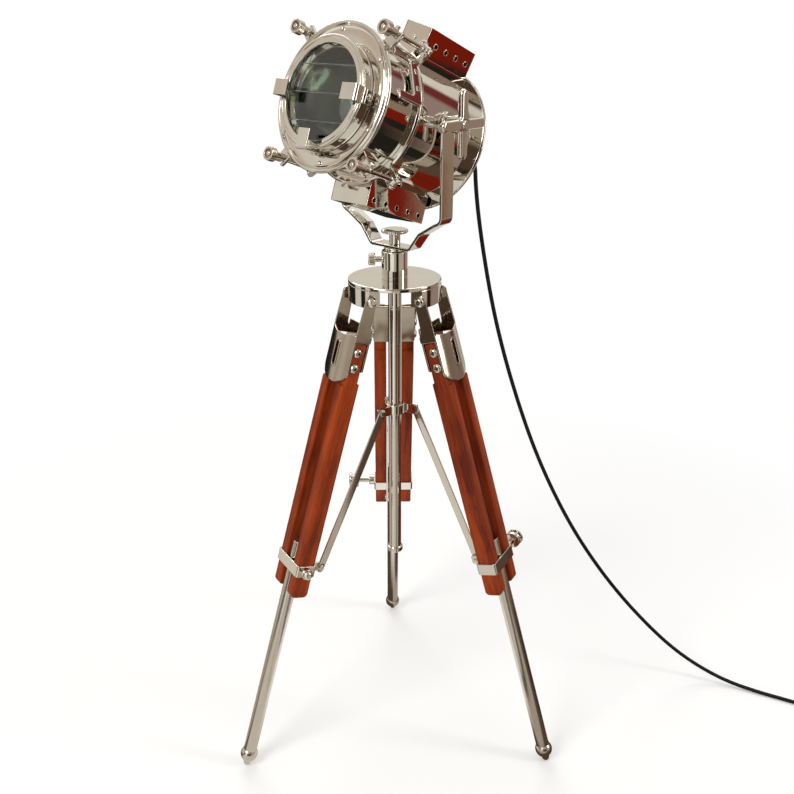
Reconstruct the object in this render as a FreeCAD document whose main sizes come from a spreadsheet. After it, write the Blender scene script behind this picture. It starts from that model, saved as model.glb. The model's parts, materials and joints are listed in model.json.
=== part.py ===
import FreeCAD, Part
import math
import os
import re
import Sketcher
from FreeCAD import Placement, Rotation, Vector

# A tabletop searchlight: a polished metal lamp drum tilts in a U-shaped yoke, which turns on a
# column between three folding legs of wood with sliding metal feet.
#
# World frame: millimetres, +Z up, origin on the floor under the centre of the stand.
# Leg frame: origin on the leg's hinge pin, x square to the leg and outward, y along the pin,
# z up along the leg. Head frame: origin on the tilt axis, x forward along the lamp, y towards
# the lamp's left nut, z up. Sizes are millimetres, angles degrees.

DIMS = {
    # Clearances
    "running_fit": 0.06,
    "seat_gap": 0.3,
    "side_gap": 0.2,
    # Stand: the hinge circle and how the legs stand
    "hinge_height": 525.5,
    "hinge_circle": 41,
    "hinge_pin_radius": 3,
    "hinge_head_radius": 5,
    "hinge_head_height": 3.9,
    "leg_spread": 16.54,
    "leg_turn": 210.93,
    # Crown under the lamp
    "crown_top": 540,
    "crown_radius": 47.3,
    "crown_thick": 4,
    "skirt_height": 18,
    "skirt_inner": 30,
    "lug_clear": 0.6,
    # Column
    "column_radius": 6.9,
    "column_wall": 1.2,
    "column_low": 220,
    "column_rise": 8,
    "column_ring_radius": 8.7,
    "column_ring_height": 6,
    # Pan bearing
    "socket_radius": 13.2,
    "socket_height": 27.3,
    "spigot_radius": 8,
    "spigot_length": 18.6,
    "stud_flange_radius": 10.8,
    "stud_flange_height": 3,
    "stud_shank_radius": 3,
    "stud_shank_length": 13,
    "pan_lock_turn": 180,
    "pan_lock_drop": 9.3,
    "pan_lock_shank": 1.9,
    "pan_lock_gap": 0.8,
    "pan_lock_chamfer": 0.6,
    "pan_lock_rim": 1.2,
    "pan_lock_neck": 3,
    "pan_lock_neck_length": 6,
    "pan_lock_knob_radius": 6.5,
    "pan_lock_knob_length": 7,
    # Wooden rails of a leg
    "rail_thick": 13.5,
    "rail_gap": 17,
    "rail_outward": 8,
    "rail_inward": 11,
    "rail_recess": 2.4,
    "rail_top": 44,
    "rail_recess_end": 85,
    "rail_end": 325,
    "rail_corner": 4,
    # Metal head of a leg
    "strap_seat": 0.1,
    "strap_thick": 2,
    "strap_width": 12,
    "pad_top": 33,
    "pad_end": 42,
    "cover_radius": 60,
    "cover_crown": 12,
    "cover_thick": 2,
    "cover_width": 48,
    "cover_top": 34,
    "cover_side_end": 77,
    "cover_end": 88,
    "cover_dip": 4,
    "cover_slot_width": 5,
    "cover_slot_top": 46,
    "cover_slot_end": 72,
    "inner_plate_top": 27,
    "inner_plate_end": 72.5,
    "inner_plate_thick": 2,
    "inner_plate_half": 22.6,
    # Screws of a leg
    "screw_head_radius": 5,
    "screw_head_height": 3.2,
    "screw_shank_radius": 2,
    "screw_depth": 9,
    "screw_first": 53,
    "screw_pitch": 16,
    # Clamp band at the foot of the rails
    "band_top": 287,
    "band_height": 12.5,
    "band_thick": 1.6,
    "boss_radius": 6,
    "boss_height": 6.3,
    "clamp_shank_radius": 2.5,
    "clamp_neck_radius": 3,
    "clamp_neck_length": 13,
    "clamp_knob_radius": 9,
    "clamp_knob_length": 12,
    "clamp_knob_waist": 6.5,
    "clamp_screw_radius": 5,
    "clamp_screw_length": 4,
    "clamp_screw_slot": 1.2,
    # Sliding foot tube
    "foot_tube_radius": 7.25,
    "foot_tube_wall": 1.2,
    "foot_tube_top": 268,
    "foot_collar_radius": 9.5,
    "foot_collar_rise": 11,
    "foot_tip_radius": 4,
    "foot_flat": 0.3,
    # Braces between the column and the legs
    "collar_radius": 10,
    "collar_height": 11,
    "collar_low": 391,
    "collar_slide_fit": 0.1,
    "brace_pin_circle": 20,
    "brace_pin_radius": 2,
    "brace_pin_head": 3.2,
    "brace_pin_head_height": 1.2,
    "brace_lug_side": 4.3,
    "brace_lug_thick": 2.5,
    "brace_lug_height": 10,
    "brace_width": 8,
    "brace_thick": 2,
    "brace_slot_play": 2,
    "brace_slot_side": 0.55,
    "ear_reach": 28,
    "ear_station": 296.5,
    # Yoke
    "head_pan": 227.72,
    "head_tilt": 20.3,
    "trunnion_height": 693.4,
    "yoke_thick": 3,
    "yoke_width": 17,
    "yoke_inside": 126.6,
    "yoke_base_half": 25,
    "yoke_knee_out": 38,
    "yoke_knee_up": 17,
    "yoke_hip_out": 56,
    "yoke_hip_up": 28,
    "yoke_arm_up": 32,
    "yoke_bend": 6,
    "yoke_eye_radius": 10,
    "yoke_knob_stem_radius": 5.6,
    "yoke_knob_stem_length": 11.4,
    "yoke_knob_radius": 13.5,
    "yoke_knob_height": 3.5,
    "yoke_knob_under": 0.8,
    "yoke_knob_rim": 2,
    "yoke_knob_rim_height": 1.4,
    # Tilt trunnions and their nuts
    "drum_drop": 5.7,
    "boss_wide_radius": 10.5,
    "trunnion_radius": 4,
    "trunnion_end": 86,
    "nut_hub_radius": 7,
    "nut_length": 18.1,
    "nut_wing_reach": 26.5,
    "nut_wing_width": 10,
    "nut_wing_thick": 6,
    # Drum
    "drum_radius": 61,
    "drum_wall": 1.2,
    "drum_back": -50,
    "belt_back": 38,
    "belt_front": 44,
    "belt_radius": 66.2,
    # Back cover
    "back_radius": 70.1,
    "back_thick": 4,
    "back_bead": 2,
    # Front ring with its glass
    "ring_back_gap": 0.2,
    "flange_back": 82,
    "flange_front": 86.7,
    "flange_radius": 66.8,
    "flange_bore": 44,
    "flange_bead": 2,
    "ring_rivet_circle": 58.5,
    "ring_rivet_radius": 2.4,
    "ring_rivet_height": 1.8,
    "ring_rivet_turn": 34,
    "bolt_lug_back": 76,
    "bolt_lug_thick": 4,
    "bolt_lug_radius": 83,
    "bolt_lug_width": 12,
    "bolt_slot_half": 3,
    "bolt_slot_floor": 75,
    "bezel_outer": 48,
    "bezel_front": 100,
    "bezel_rim_outer": 49.5,
    "bezel_rim_inner": 42,
    "bezel_rim_length": 3,
    "glass_thick": 2.5,
    "glass_gap": 0.4,
    "glass_pitch": 24.5,
    "door_hinge_back": 45,
    "door_hinge_bar": 8,
    "door_hinge_half": 24,
    "door_hinge_turn": 25.4,
    "door_hinge_thick": 2.5,
    "door_hinge_lift": 2.5,
    # Reflector, bulb and lampholder
    "reflector_radius": 52,
    "reflector_centre": 66,
    "reflector_wall": 1.2,
    "reflector_rim": 2,
    "reflector_hole": 14,
    "holder_radius": 13,
    "holder_back": -5,
    "holder_front": 18,
    "holder_stem_radius": 5,
    "bulb_radius": 20,
    "bulb_centre": 45,
    "bulb_neck_radius": 12,
    # Vents
    "vent_wall": 1.5,
    "vent_hole_radius": 2.2,
    "top_vent_turn": -14,
    "top_vent_front": 19.3,
    "top_vent_back": -49.3,
    "top_vent_half": 16.2,
    "top_vent_high": 90.2,
    "top_vent_sill": 65,
    "top_vent_sill_out": 2.5,
    "top_vent_slot_inset": 12,
    "low_vent_front": 36,
    "low_vent_back": -47,
    "low_vent_half": 23.5,
    "low_vent_low": 82.3,
    "low_vent_slot_inset": 12,
    # Filter clips on the bezel
    "clip_half": 7,
    "clip_thick": 1.5,
    "clip_front": 108.7,
    "clip_lip": 38,
    "clip_foot": 7,
    # Swing bolts
    "bolt_turn": 47,
    "bolt_circle": 78,
    "bolt_pin_station": 41,
    "bolt_pin_radius": 2,
    "clevis_length": 8,
    "clevis_width": 12,
    "clevis_top": 84,
    "clevis_slot_half": 3.1,
    "clevis_slot_floor": 70,
    "bolt_radius": 2.4,
    "bolt_end": 100,
    "bolt_eye_radius": 5,
    "bolt_nut_gap": 0.6,
    "bolt_nut_neck": 4,
    "bolt_nut_neck_length": 9.4,
    "bolt_nut_radius": 6.5,
    "bolt_nut_length": 7,
    "bolt_nut_chamfer": 0.6,
    # Cord gland and rotary switch on the back cover
    "gland_side": 14,
    "gland_nut_radius": 7,
    "gland_nut_length": 6,
    "gland_body_radius": 5,
    "gland_body_length": 10,
    "gland_relief_radius": 3.6,
    "gland_relief_end": 102,
    "gland_tip_radius": 2.7,
    "switch_side": 26,
    "switch_shaft_radius": 3,
    "switch_knob_radius": 9,
    "switch_knob_length": 12,
    # Cord
    "cord_diameter": 4.5,
    "coil_radius": 25,
    "coil_x": 536.5,
    "coil_y": -1,
    "coil_columns": 3,
    "plug_width": 22,
    "plug_height": 13.5,
    "plug_length": 26,
    "plug_tail": 16,
    "plug_gap": 12,
    "pin_length": 17.5,
    "pin_width": 6.3,
    "pin_thick": 1.5,
    "pin_pitch": 12.7,
}

# Places worked out from the driving sizes, as formulas of the sheet
RAIL_OUT = "(rail_gap / 2 + rail_thick)"
STRAP_IN = "(rail_gap / 2 + rail_thick + strap_seat)"
STRAP_OUT = "(rail_gap / 2 + rail_thick + strap_seat + strap_thick)"
SKIRT_TOP = "(crown_top - crown_thick)"
SOCKET_TOP = "(crown_top + socket_height)"
FLANGE_LOW = "(crown_top + socket_height + seat_gap)"
YOKE_LOW = "(crown_top + socket_height + seat_gap + stud_flange_height)"
FOOT_CENTRE = "((hinge_height - foot_tip_radius + foot_flat) / cos(leg_spread))"
BAND_OUT = "(rail_gap / 2 + rail_thick + strap_seat + band_thick)"
ARM_IN = "(yoke_inside / 2)"
ARM_OUT = "(yoke_inside / 2 + yoke_thick)"
NECK_BACK = "(belt_front + ring_back_gap)"

doc = FreeCAD.newDocument("searchlight")
sheet = doc.addObject("Spreadsheet::Sheet", "Dims")
for row, (name, number) in enumerate(DIMS.items(), 1):
    sheet.set("A%d" % row, name)
    sheet.set("B%d" % row, "%g" % number)
    sheet.setAlias("B%d" % row, name)
doc.recompute()

NAMES = re.compile(r"\b(%s)\b" % "|".join(DIMS))
AXES = {"x": Vector(1, 0, 0), "y": Vector(0, 1, 0), "z": Vector(0, 0, 1),
        "-x": Vector(-1, 0, 0), "-y": Vector(0, -1, 0)}
nodes = []


def size(name):
    """The number in a cell of the sheet."""
    return float(sheet.get(name))


def formula(text):
    """Turn names of sizes into references to the sheet."""
    return NAMES.sub(r"Dims.\1", str(text))


def bind(item, **sizes):
    """Bind properties of an object to formulas."""
    for name, text in sizes.items():
        item.setExpression(name, formula(text))
    return item


def put(item, x=0, y=0, z=0):
    """Bind where an object stands."""
    for axis, text in (("x", x), ("y", y), ("z", z)):
        if text != 0:
            item.setExpression("Placement.Base.%s" % axis, formula(text))
    return item


def aim(item, along):
    """Turn an object that was made along z."""
    item.Placement.Rotation = Rotation(AXES["z"], AXES[along])
    return item


def rod(radius, length, x=0, y=0, z=0, along="z"):
    item = doc.addObject("Part::Cylinder", "Rod")
    bind(aim(item, along), Radius=radius, Height=length)
    return put(item, x, y, z)


def ball(radius, x=0, y=0, z=0):
    item = doc.addObject("Part::Sphere", "Ball")
    return put(bind(item, Radius=radius), x, y, z)


def ring(radius, minor, x=0, y=0, z=0, along="z"):
    item = doc.addObject("Part::Torus", "Ring")
    bind(aim(item, along), Radius1=radius, Radius2=minor)
    return put(item, x, y, z)


def block(x, y, z):
    """A box between a low and a high face along each axis."""
    item = doc.addObject("Part::Box", "Block")
    bind(item, Length="(%s) - (%s)" % (x[1], x[0]), Width="(%s) - (%s)" % (y[1], y[0]),
         Height="(%s) - (%s)" % (z[1], z[0]))
    return put(item, x[0], y[0], z[0])


def join(*items):
    item = doc.addObject("Part::MultiFuse", "Join")
    item.Shapes = list(items)
    item.Refine = True
    return item


def cut(base, *tools):
    item = doc.addObject("Part::Cut", "Cut")
    item.Base = base
    item.Tool = tools[0] if len(tools) == 1 else join(*tools)
    return item


def overlap(base, tool):
    item = doc.addObject("Part::Common", "Overlap")
    item.Base = base
    item.Tool = tool
    return item


def group(*items):
    item = doc.addObject("Part::Compound", "Group")
    item.Links = list(items)
    return item


def turn(item, angle, axis="z"):
    """A turned copy about an axis through the frame's origin."""
    holder = group(item)
    holder.Placement = Placement(Vector(), Rotation(AXES[axis], angle))
    return holder


def outline(body, plane, points, holes=()):
    """A closed sketch through points of formulas, with round holes (x, y, radius)."""
    sketch = body.newObject("Sketcher::SketchObject", "Outline")
    base = [part for part in body.Origin.OriginFeatures if part.Role == plane][0]
    sketch.AttachmentSupport = [(base, "")]
    sketch.MapMode = "FlatFace"
    count = len(points)
    rough = [Vector(math.cos(2 * math.pi * i / count), math.sin(2 * math.pi * i / count), 0) * 50
             for i in range(count)]
    for i in range(count):
        sketch.addGeometry(Part.LineSegment(rough[i], rough[(i + 1) % count]))
    for i in range(count):
        sketch.addConstraint(Sketcher.Constraint("Coincident", i, 2, (i + 1) % count, 1))
    spots = [(i, 1, x, y) for i, (x, y) in enumerate(points)]
    for x, y, radius in holes:
        circle = sketch.addGeometry(Part.Circle(Vector(0, 0, 0), AXES["z"], 1))
        fixed = sketch.addConstraint(Sketcher.Constraint("Radius", circle, 1.0))
        sketch.setExpression("Constraints[%d]" % fixed, formula(radius))
        spots.append((circle, 3, x, y))
    for shape, spot, x, y in spots:
        for kind, text in (("DistanceX", x), ("DistanceY", y)):
            fixed = sketch.addConstraint(Sketcher.Constraint(kind, -1, 1, shape, spot, 1.0))
            sketch.setExpression("Constraints[%d]" % fixed, formula(text))
    return sketch


def plate(plane, points, thick, x=0, y=0, z=0, holes=()):
    """A flat piece, its outline in a plane and its thickness to both sides of (x, y, z)."""
    body = doc.addObject("PartDesign::Body", "Plate")
    pad = body.newObject("PartDesign::Pad", "Pad")
    pad.Profile = outline(body, plane, points, holes)
    pad.Midplane = True
    bind(pad, Length=thick)
    return put(body, x, y, z)


def turned(points, x=0, y=0, z=0, along="z"):
    """A turned piece: points are (radius, station along the axis)."""
    body = doc.addObject("PartDesign::Body", "Turned")
    spin = body.newObject("PartDesign::Revolution", "Spin")
    sketch = outline(body, "XZ_Plane", points)
    spin.Profile = sketch
    spin.ReferenceAxis = (sketch, ["V_Axis"])
    spin.Angle = 360
    aim(body, along)
    return put(body, x, y, z)


def node(label, item, frame=Placement()):
    """Finish a sub-part: name it and set it into its frame."""
    if item.ExpressionEngine or not item.Placement.isIdentity():
        item = group(item)
    item.Label = label
    item.Placement = frame
    nodes.append(item)


def shaped(label, shape, frame=Placement()):
    """A piece whose shape comes from Part's own functions."""
    item = doc.addObject("Part::Feature", label)
    item.Shape = shape
    item.Placement = frame
    return item


def tangent_wire(points, radii):
    """Straight runs joined by tangent arcs; radii gives each inner point's radius."""
    edges = []
    last = points[0]
    for before, point, after, radius in zip(points, points[1:], points[2:], radii):
        into = (point - before).normalize()
        out = (after - point).normalize()
        half = into.getAngle(out) / 2
        setback = radius * math.tan(half)
        start = point - into * setback
        end = point + out * setback
        inward = (out - into).normalize()
        middle = point + inward * (radius / math.cos(half) - radius)
        edges.append(Part.LineSegment(last, start).toShape())
        edges.append(Part.Arc(start, middle, end).toShape())
        last = end
    edges.append(Part.LineSegment(last, points[-1]).toShape())
    return Part.Wire(edges)


def leg_azimuth(number):
    return size("leg_turn") + 120 * (number - 1)


def upright_frame(number):
    """Leg number's plane: x outward from the column, z up, origin on the floor."""
    return Placement(Vector(), Rotation(AXES["z"], leg_azimuth(number)))


def leg_frame(number):
    hinge = Placement(Vector(size("hinge_circle"), 0, size("hinge_height")),
                      Rotation(AXES["y"], -size("leg_spread")))
    return upright_frame(number).multiply(hinge)


def brace_frame(number):
    """Origin on the brace's upper pin, z up along the brace."""
    spread = math.radians(size("leg_spread"))
    lower = Vector(size("hinge_circle") + size("ear_station") * math.sin(spread)
                   - size("ear_reach") * math.cos(spread), 0,
                   size("hinge_height") - size("ear_station") * math.cos(spread)
                   - size("ear_reach") * math.sin(spread))
    upper = Vector(size("brace_pin_circle"), 0, size("collar_low") + size("collar_height") / 2)
    lean = math.degrees(math.atan2(lower.x - upper.x, upper.z - lower.z))
    frame = Placement(upper, Rotation(AXES["y"], -lean))
    return upright_frame(number).multiply(frame), (lower - upper).Length


yoke_frame = Placement(Vector(), Rotation(AXES["z"], size("head_pan")))
nut_frame = yoke_frame.multiply(Placement(Vector(0, 0, size("trunnion_height")), Rotation()))
head_frame = nut_frame.multiply(Placement(Vector(), Rotation(AXES["y"], -size("head_tilt"))))
drum_frame = head_frame.multiply(Placement(Vector(0, 0, -size("drum_drop")), Rotation()))


def crown():
    """Disc with three solid hinge blocks under its rim, bored for the pins and the column."""
    disc = rod("crown_radius", "crown_thick", z=SKIRT_TOP)
    half = "(%s - lug_clear)" % STRAP_IN
    low = "(%s - skirt_height)" % SKIRT_TOP
    rim = rod("crown_radius", "skirt_height", z=low)
    lug = cut(block(("skirt_inner", "crown_radius"), ("-" + half, half), (low, SKIRT_TOP)),
              rod("hinge_pin_radius + running_fit", "2 * " + STRAP_OUT, "hinge_circle",
                  "-" + STRAP_OUT, "hinge_height", "y"))
    lugs = [overlap(turn(lug, leg_azimuth(number)), rim) for number in (1, 2, 3)]
    bore = rod("column_radius + running_fit", "crown_thick", z=SKIRT_TOP)
    node("crown", cut(join(disc, *lugs), bore))


def column():
    """Long tube with a stop ring at its foot."""
    length = "(crown_top + column_rise - column_low)"
    tube = join(rod("column_radius", length, z="column_low"),
                rod("column_ring_radius", "column_ring_height", z="column_low"))
    node("column_tube", cut(tube, rod("column_radius - column_wall", length, z="column_low")))


def hinge_pins():
    """Three headed pins through the crown's hinge blocks."""
    pins = []
    for number in (1, 2, 3):
        reach = "(%s + seat_gap)" % STRAP_OUT
        shank = rod("hinge_pin_radius", "2 * " + reach, "hinge_circle", "-" + reach,
                    "hinge_height", "y")
        heads = [turned([(0, 0), ("hinge_head_radius", 0),
                         ("hinge_head_radius", "hinge_head_height * 0.5"),
                         ("hinge_head_radius * 0.55", "hinge_head_height"),
                         (0, "hinge_head_height")],
                        "hinge_circle", side + reach, "hinge_height", side + "y")
                 for side in ("", "-")]
        pins.append(turn(join(shank, *heads), leg_azimuth(number)))
    node("leg_hinge_pins", group(*pins))


def leg_rails(number):
    """Two bars of wood, recessed under the metal head and bored for the screws."""
    corner = "rail_corner"
    recessed = "-(rail_inward - rail_recess)"
    profile = [(recessed, "-rail_top"), ("rail_outward", "-rail_top"),
               ("rail_outward", "-(rail_end - %s)" % corner),
               ("rail_outward - %s" % corner, "-rail_end"),
               ("-(rail_inward - %s)" % corner, "-rail_end"),
               ("-rail_inward", "-(rail_end - %s)" % corner),
               ("-rail_inward", "-rail_recess_end"), (recessed, "-rail_recess_end")]
    middle = "(rail_gap + rail_thick) / 2"
    bars = join(*[plate("XZ_Plane", profile, "rail_thick", y=side + middle)
                  for side in ("", "-")])
    under = "(cover_radius - cover_thick - side_gap)"
    centre = "cover_crown - cover_radius"
    shave = cut(block(("0", "rail_outward + 1"), ("-" + RAIL_OUT, RAIL_OUT),
                      ("-(cover_end + side_gap)", "0")),
                rod(under, "cover_end + 1", centre, z="-(cover_end + 1)"))
    holes = []
    for station in ("screw_first", "(screw_first + screw_pitch)"):
        holes.append(rod("screw_shank_radius + running_fit", "2 * " + RAIL_OUT, 0,
                         "-" + RAIL_OUT, "-" + station, "y"))
    holes.append(rod("clamp_shank_radius + running_fit", RAIL_OUT, 0, 0,
                     "-(band_top + band_height / 2)", "y"))
    node("leg_%d_rails" % number, cut(bars, shave, *holes), leg_frame(number))


def leg_head_bracket(number):
    """Two hinge straps, a bowed outer cover and a flat inner plate, brazed into one."""
    eye = "strap_width / 2"
    pieces = []
    deep = "-(rail_inward - rail_recess + seat_gap + inner_plate_thick)"
    for side in ("", "-"):
        low, high = (STRAP_IN, STRAP_OUT) if side == "" else ("-" + STRAP_OUT, "-" + STRAP_IN)
        pieces.append(rod(eye, "strap_thick", 0, low, 0, "y"))
        pieces.append(block(("-" + eye, eye), (low, high), ("-pad_end", "0")))
        pieces.append(block((deep, "cover_crown - 5"), (low, high), ("-pad_end", "-pad_top")))
    half = "cover_width / 2"
    side_end = "-cover_side_end"
    shape = [("-" + half, "-cover_top"), ("-" + half + " / 3", "-(cover_top + cover_dip)"),
             (half + " / 3", "-(cover_top + cover_dip)"), (half, "-cover_top"),
             (half, side_end), (half + " * 0.7", "-(cover_side_end * 0.35 + cover_end * 0.65)"),
             (half + " * 0.3", "-cover_end"), ("-" + half + " * 0.3", "-cover_end"),
             ("-" + half + " * 0.7", "-(cover_side_end * 0.35 + cover_end * 0.65)"),
             ("-" + half, side_end)]
    blank = plate("YZ_Plane", shape, "2 * cover_crown", "cover_crown")
    centre = "cover_crown - cover_radius"
    shell = cut(rod("cover_radius", "cover_end", centre, z="-cover_end"),
                rod("cover_radius - cover_thick", "cover_end", centre, z="-cover_end"))
    pieces.append(overlap(shell, blank))
    pieces.append(block((deep, "-(rail_inward - rail_recess + seat_gap)"),
                        ("-" + STRAP_OUT, STRAP_OUT), ("-pad_end", "-pad_top")))
    pieces.append(block((deep, "-(rail_inward - rail_recess + seat_gap)"),
                        ("-inner_plate_half", "inner_plate_half"),
                        ("-inner_plate_end", "-inner_plate_top")))
    slot = block(("0", "cover_crown + 1"), ("-cover_slot_width / 2", "cover_slot_width / 2"),
                 ("-cover_slot_end", "-cover_slot_top"))
    bore = rod("hinge_pin_radius + running_fit", "2 * " + STRAP_OUT, 0, "-" + STRAP_OUT, 0, "y")
    node("leg_%d_head_bracket" % number, cut(join(*pieces), slot, bore), leg_frame(number))


def dome_screw(x, y, z, along):
    """A round-headed screw; (x, y, z) is under its head, along points out of the wood."""
    profile = [(0, "-(screw_depth - seat_gap)"),
               ("screw_shank_radius", "-(screw_depth - seat_gap)"), ("screw_shank_radius", 0),
               ("screw_head_radius", 0), ("screw_head_radius", "screw_head_height * 0.35"),
               ("screw_head_radius * 0.6", "screw_head_height"), (0, "screw_head_height")]
    return turned(profile, x, y, z, along)


def leg_screws(number):
    """Two round-headed screws in each side of the leg."""
    screws = []
    for side in ("", "-"):
        for station in ("-screw_first", "-(screw_first + screw_pitch)"):
            screws.append(dome_screw(0, side + RAIL_OUT, station, side + "y"))
    node("leg_%d_screws" % number, group(*screws), leg_frame(number))


def leg_clamp(number):
    """Band round the foot of the rails, with a threaded boss and the ear for the brace."""
    low = "-(band_top + band_height)"
    inside = STRAP_IN
    outward = "(rail_outward + strap_seat)"
    inward = "(rail_inward + strap_seat)"
    band = cut(block(("-(%s + band_thick)" % inward, outward + " + band_thick"),
                     ("-" + BAND_OUT, BAND_OUT), (low, "-band_top")),
               block(("-" + inward, outward), ("-" + inside, inside), (low, "-band_top")))
    middle = "-(band_top + band_height / 2)"
    boss = rod("boss_radius", "boss_height + band_thick", 0, inside, middle, "y")
    lug_out = "(brace_lug_side + brace_lug_thick)"
    ear = join(block(("-ear_reach", "-" + inward), ("brace_lug_side", lug_out),
                     ("-ear_station - brace_lug_height / 2",
                      "-ear_station + brace_lug_height / 2")),
               rod("brace_lug_height / 2", "brace_lug_thick", "-ear_reach",
                   "brace_lug_side", "-ear_station", "y"))
    pin_end = "(brace_lug_thick + side_gap + brace_thick + side_gap)"
    pin = join(rod("brace_pin_radius", pin_end, "-ear_reach", "brace_lug_side",
                   "-ear_station", "y"),
               rod("brace_pin_head", "brace_pin_head_height", "-ear_reach",
                   "brace_lug_side + " + pin_end, "-ear_station", "y"))
    hole = rod("clamp_shank_radius + running_fit", "boss_height + 2 * band_thick", 0, inside,
               middle, "y")
    node("leg_%d_clamp" % number, cut(join(band, boss, ear, pin), hole), leg_frame(number))


def leg_clamp_knob(number):
    """Screw that locks the foot tube: a lobed knob, or on the first leg a slotted head."""
    seat = "(%s + boss_height + seat_gap)" % BAND_OUT
    tip = "(foot_tube_radius + seat_gap)"
    station = "-(band_top + band_height / 2)"
    if number == 1:
        head = cut(turned([(0, 0), ("clamp_screw_radius", 0),
                           ("clamp_screw_radius", "clamp_screw_length * 0.4"),
                           ("clamp_screw_radius * 0.6", "clamp_screw_length"),
                           (0, "clamp_screw_length")], 0, seat, station, "y"),
                   block(("-clamp_screw_radius", "clamp_screw_radius"),
                         (seat + " + clamp_screw_length * 0.6", seat + " + clamp_screw_length"),
                         (station + " - clamp_screw_slot / 2",
                          station + " + clamp_screw_slot / 2")))
    else:
        knob = [(0, 0), ("clamp_neck_radius", 0), ("clamp_neck_radius", "clamp_neck_length"),
                ("clamp_knob_radius", "clamp_neck_length"),
                ("clamp_knob_radius", "clamp_neck_length + clamp_knob_length * 0.25"),
                ("clamp_knob_waist", "clamp_neck_length + clamp_knob_length * 0.35"),
                ("clamp_knob_waist", "clamp_neck_length + clamp_knob_length * 0.65"),
                ("clamp_knob_radius", "clamp_neck_length + clamp_knob_length * 0.75"),
                ("clamp_knob_radius", "clamp_neck_length + clamp_knob_length * 0.95"),
                (0, "clamp_neck_length + clamp_knob_length")]
        head = turned(knob, 0, seat, station, "y")
    shank = rod("clamp_shank_radius", "%s - %s" % (seat, tip), 0, tip, station, "y")
    node("leg_%d_clamp_knob" % number, join(head, shank), leg_frame(number))


def leg_extension(number):
    """Foot tube that slides between the rails, its rounded tip worn flat on the floor."""
    inner = "(foot_tube_radius - foot_tube_wall)"
    collar = "(%s - foot_collar_rise)" % FOOT_CENTRE
    tube = turned([(inner, "-foot_tube_top"), ("foot_tube_radius", "-foot_tube_top"),
                   ("foot_tube_radius", "-" + collar), ("foot_tip_radius", "-" + FOOT_CENTRE),
                   (0, "-" + FOOT_CENTRE), (0, "-" + collar), (inner, "-" + collar)])
    reach = ("-foot_collar_radius", "foot_collar_radius")
    under = group(block(reach, reach, ("-foot_collar_radius", "foot_flat - foot_tip_radius")))
    under.Placement.Rotation = Rotation(AXES["y"], size("leg_spread"))
    put(under, z="-" + FOOT_CENTRE)
    foot = join(tube, ball("foot_collar_radius", z="-" + collar),
                ball("foot_tip_radius", z="-" + FOOT_CENTRE))
    node("leg_%d_extension" % number, cut(foot, under), leg_frame(number))


def brace(number):
    """Flat strip with round ends, a hole above and a slotted hole below."""
    frame, length = brace_frame(number)
    half = "brace_width / 2"
    side = "brace_lug_side + brace_lug_thick + side_gap"
    lower = "-%.6f" % length
    end = lower + " - brace_slot_play"
    strip = join(block(("-" + half, half), (side, side + " + brace_thick"), (end, "0")),
                 rod(half, "brace_thick", 0, side, 0, "y"),
                 rod(half, "brace_thick", 0, side, end, "y"))
    bore = "brace_pin_radius + running_fit"
    wide = "brace_pin_radius + brace_slot_side"
    slot = [rod(wide, "brace_thick", 0, side, lower + " + brace_slot_play", "y"),
            rod(wide, "brace_thick", 0, side, lower + " - brace_slot_play", "y"),
            block(("-(%s)" % wide, wide), (side, side + " + brace_thick"),
                  (lower + " - brace_slot_play", lower + " + brace_slot_play"))]
    node("brace_%d" % number,
         cut(strip, rod(bore, "brace_thick", 0, side, 0, "y"), *slot), frame)


def brace_collar():
    """Sliding ring on the column with a lug and a headed pin for each brace."""
    middle = "(collar_low + collar_height / 2)"
    body = rod("collar_radius", "collar_height", z="collar_low")
    lugs = []
    for number in (1, 2, 3):
        pin_end = "(brace_lug_thick + side_gap + brace_thick + side_gap)"
        lug = join(block(("column_radius + 1", "brace_pin_circle"),
                         ("brace_lug_side", "brace_lug_side + brace_lug_thick"),
                         (middle + " - brace_lug_height / 2", middle + " + brace_lug_height / 2")),
                   rod("brace_lug_height / 2", "brace_lug_thick", "brace_pin_circle",
                       "brace_lug_side", middle, "y"),
                   rod("brace_pin_radius", pin_end, "brace_pin_circle", "brace_lug_side",
                       middle, "y"),
                   rod("brace_pin_head", "brace_pin_head_height", "brace_pin_circle",
                       "brace_lug_side + " + pin_end, middle, "y"))
        lugs.append(turn(lug, leg_azimuth(number)))
    node("brace_collar", cut(join(body, *lugs),
                             rod("column_radius + collar_slide_fit", "collar_height",
                                 z="collar_low")))


def pan_socket():
    """Round socket on the crown that holds the column below and the yoke's spigot above."""
    post = rod("socket_radius", "socket_height", z="crown_top")
    column_bore = rod("column_radius + running_fit", "column_rise", z="crown_top")
    spigot_low = "(%s - spigot_length)" % FLANGE_LOW
    spigot_bore = rod("spigot_radius + running_fit", "%s - %s" % (SOCKET_TOP, spigot_low),
                      z=spigot_low)
    air = rod("column_radius - column_wall", "socket_height", z="crown_top")
    lock_hole = turn(rod("pan_lock_shank + running_fit", "socket_radius", 0, 0,
                         "%s - pan_lock_drop" % SOCKET_TOP, "x"), size("pan_lock_turn"))
    node("pan_socket", cut(post, column_bore, spigot_bore, air, lock_hole))


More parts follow.
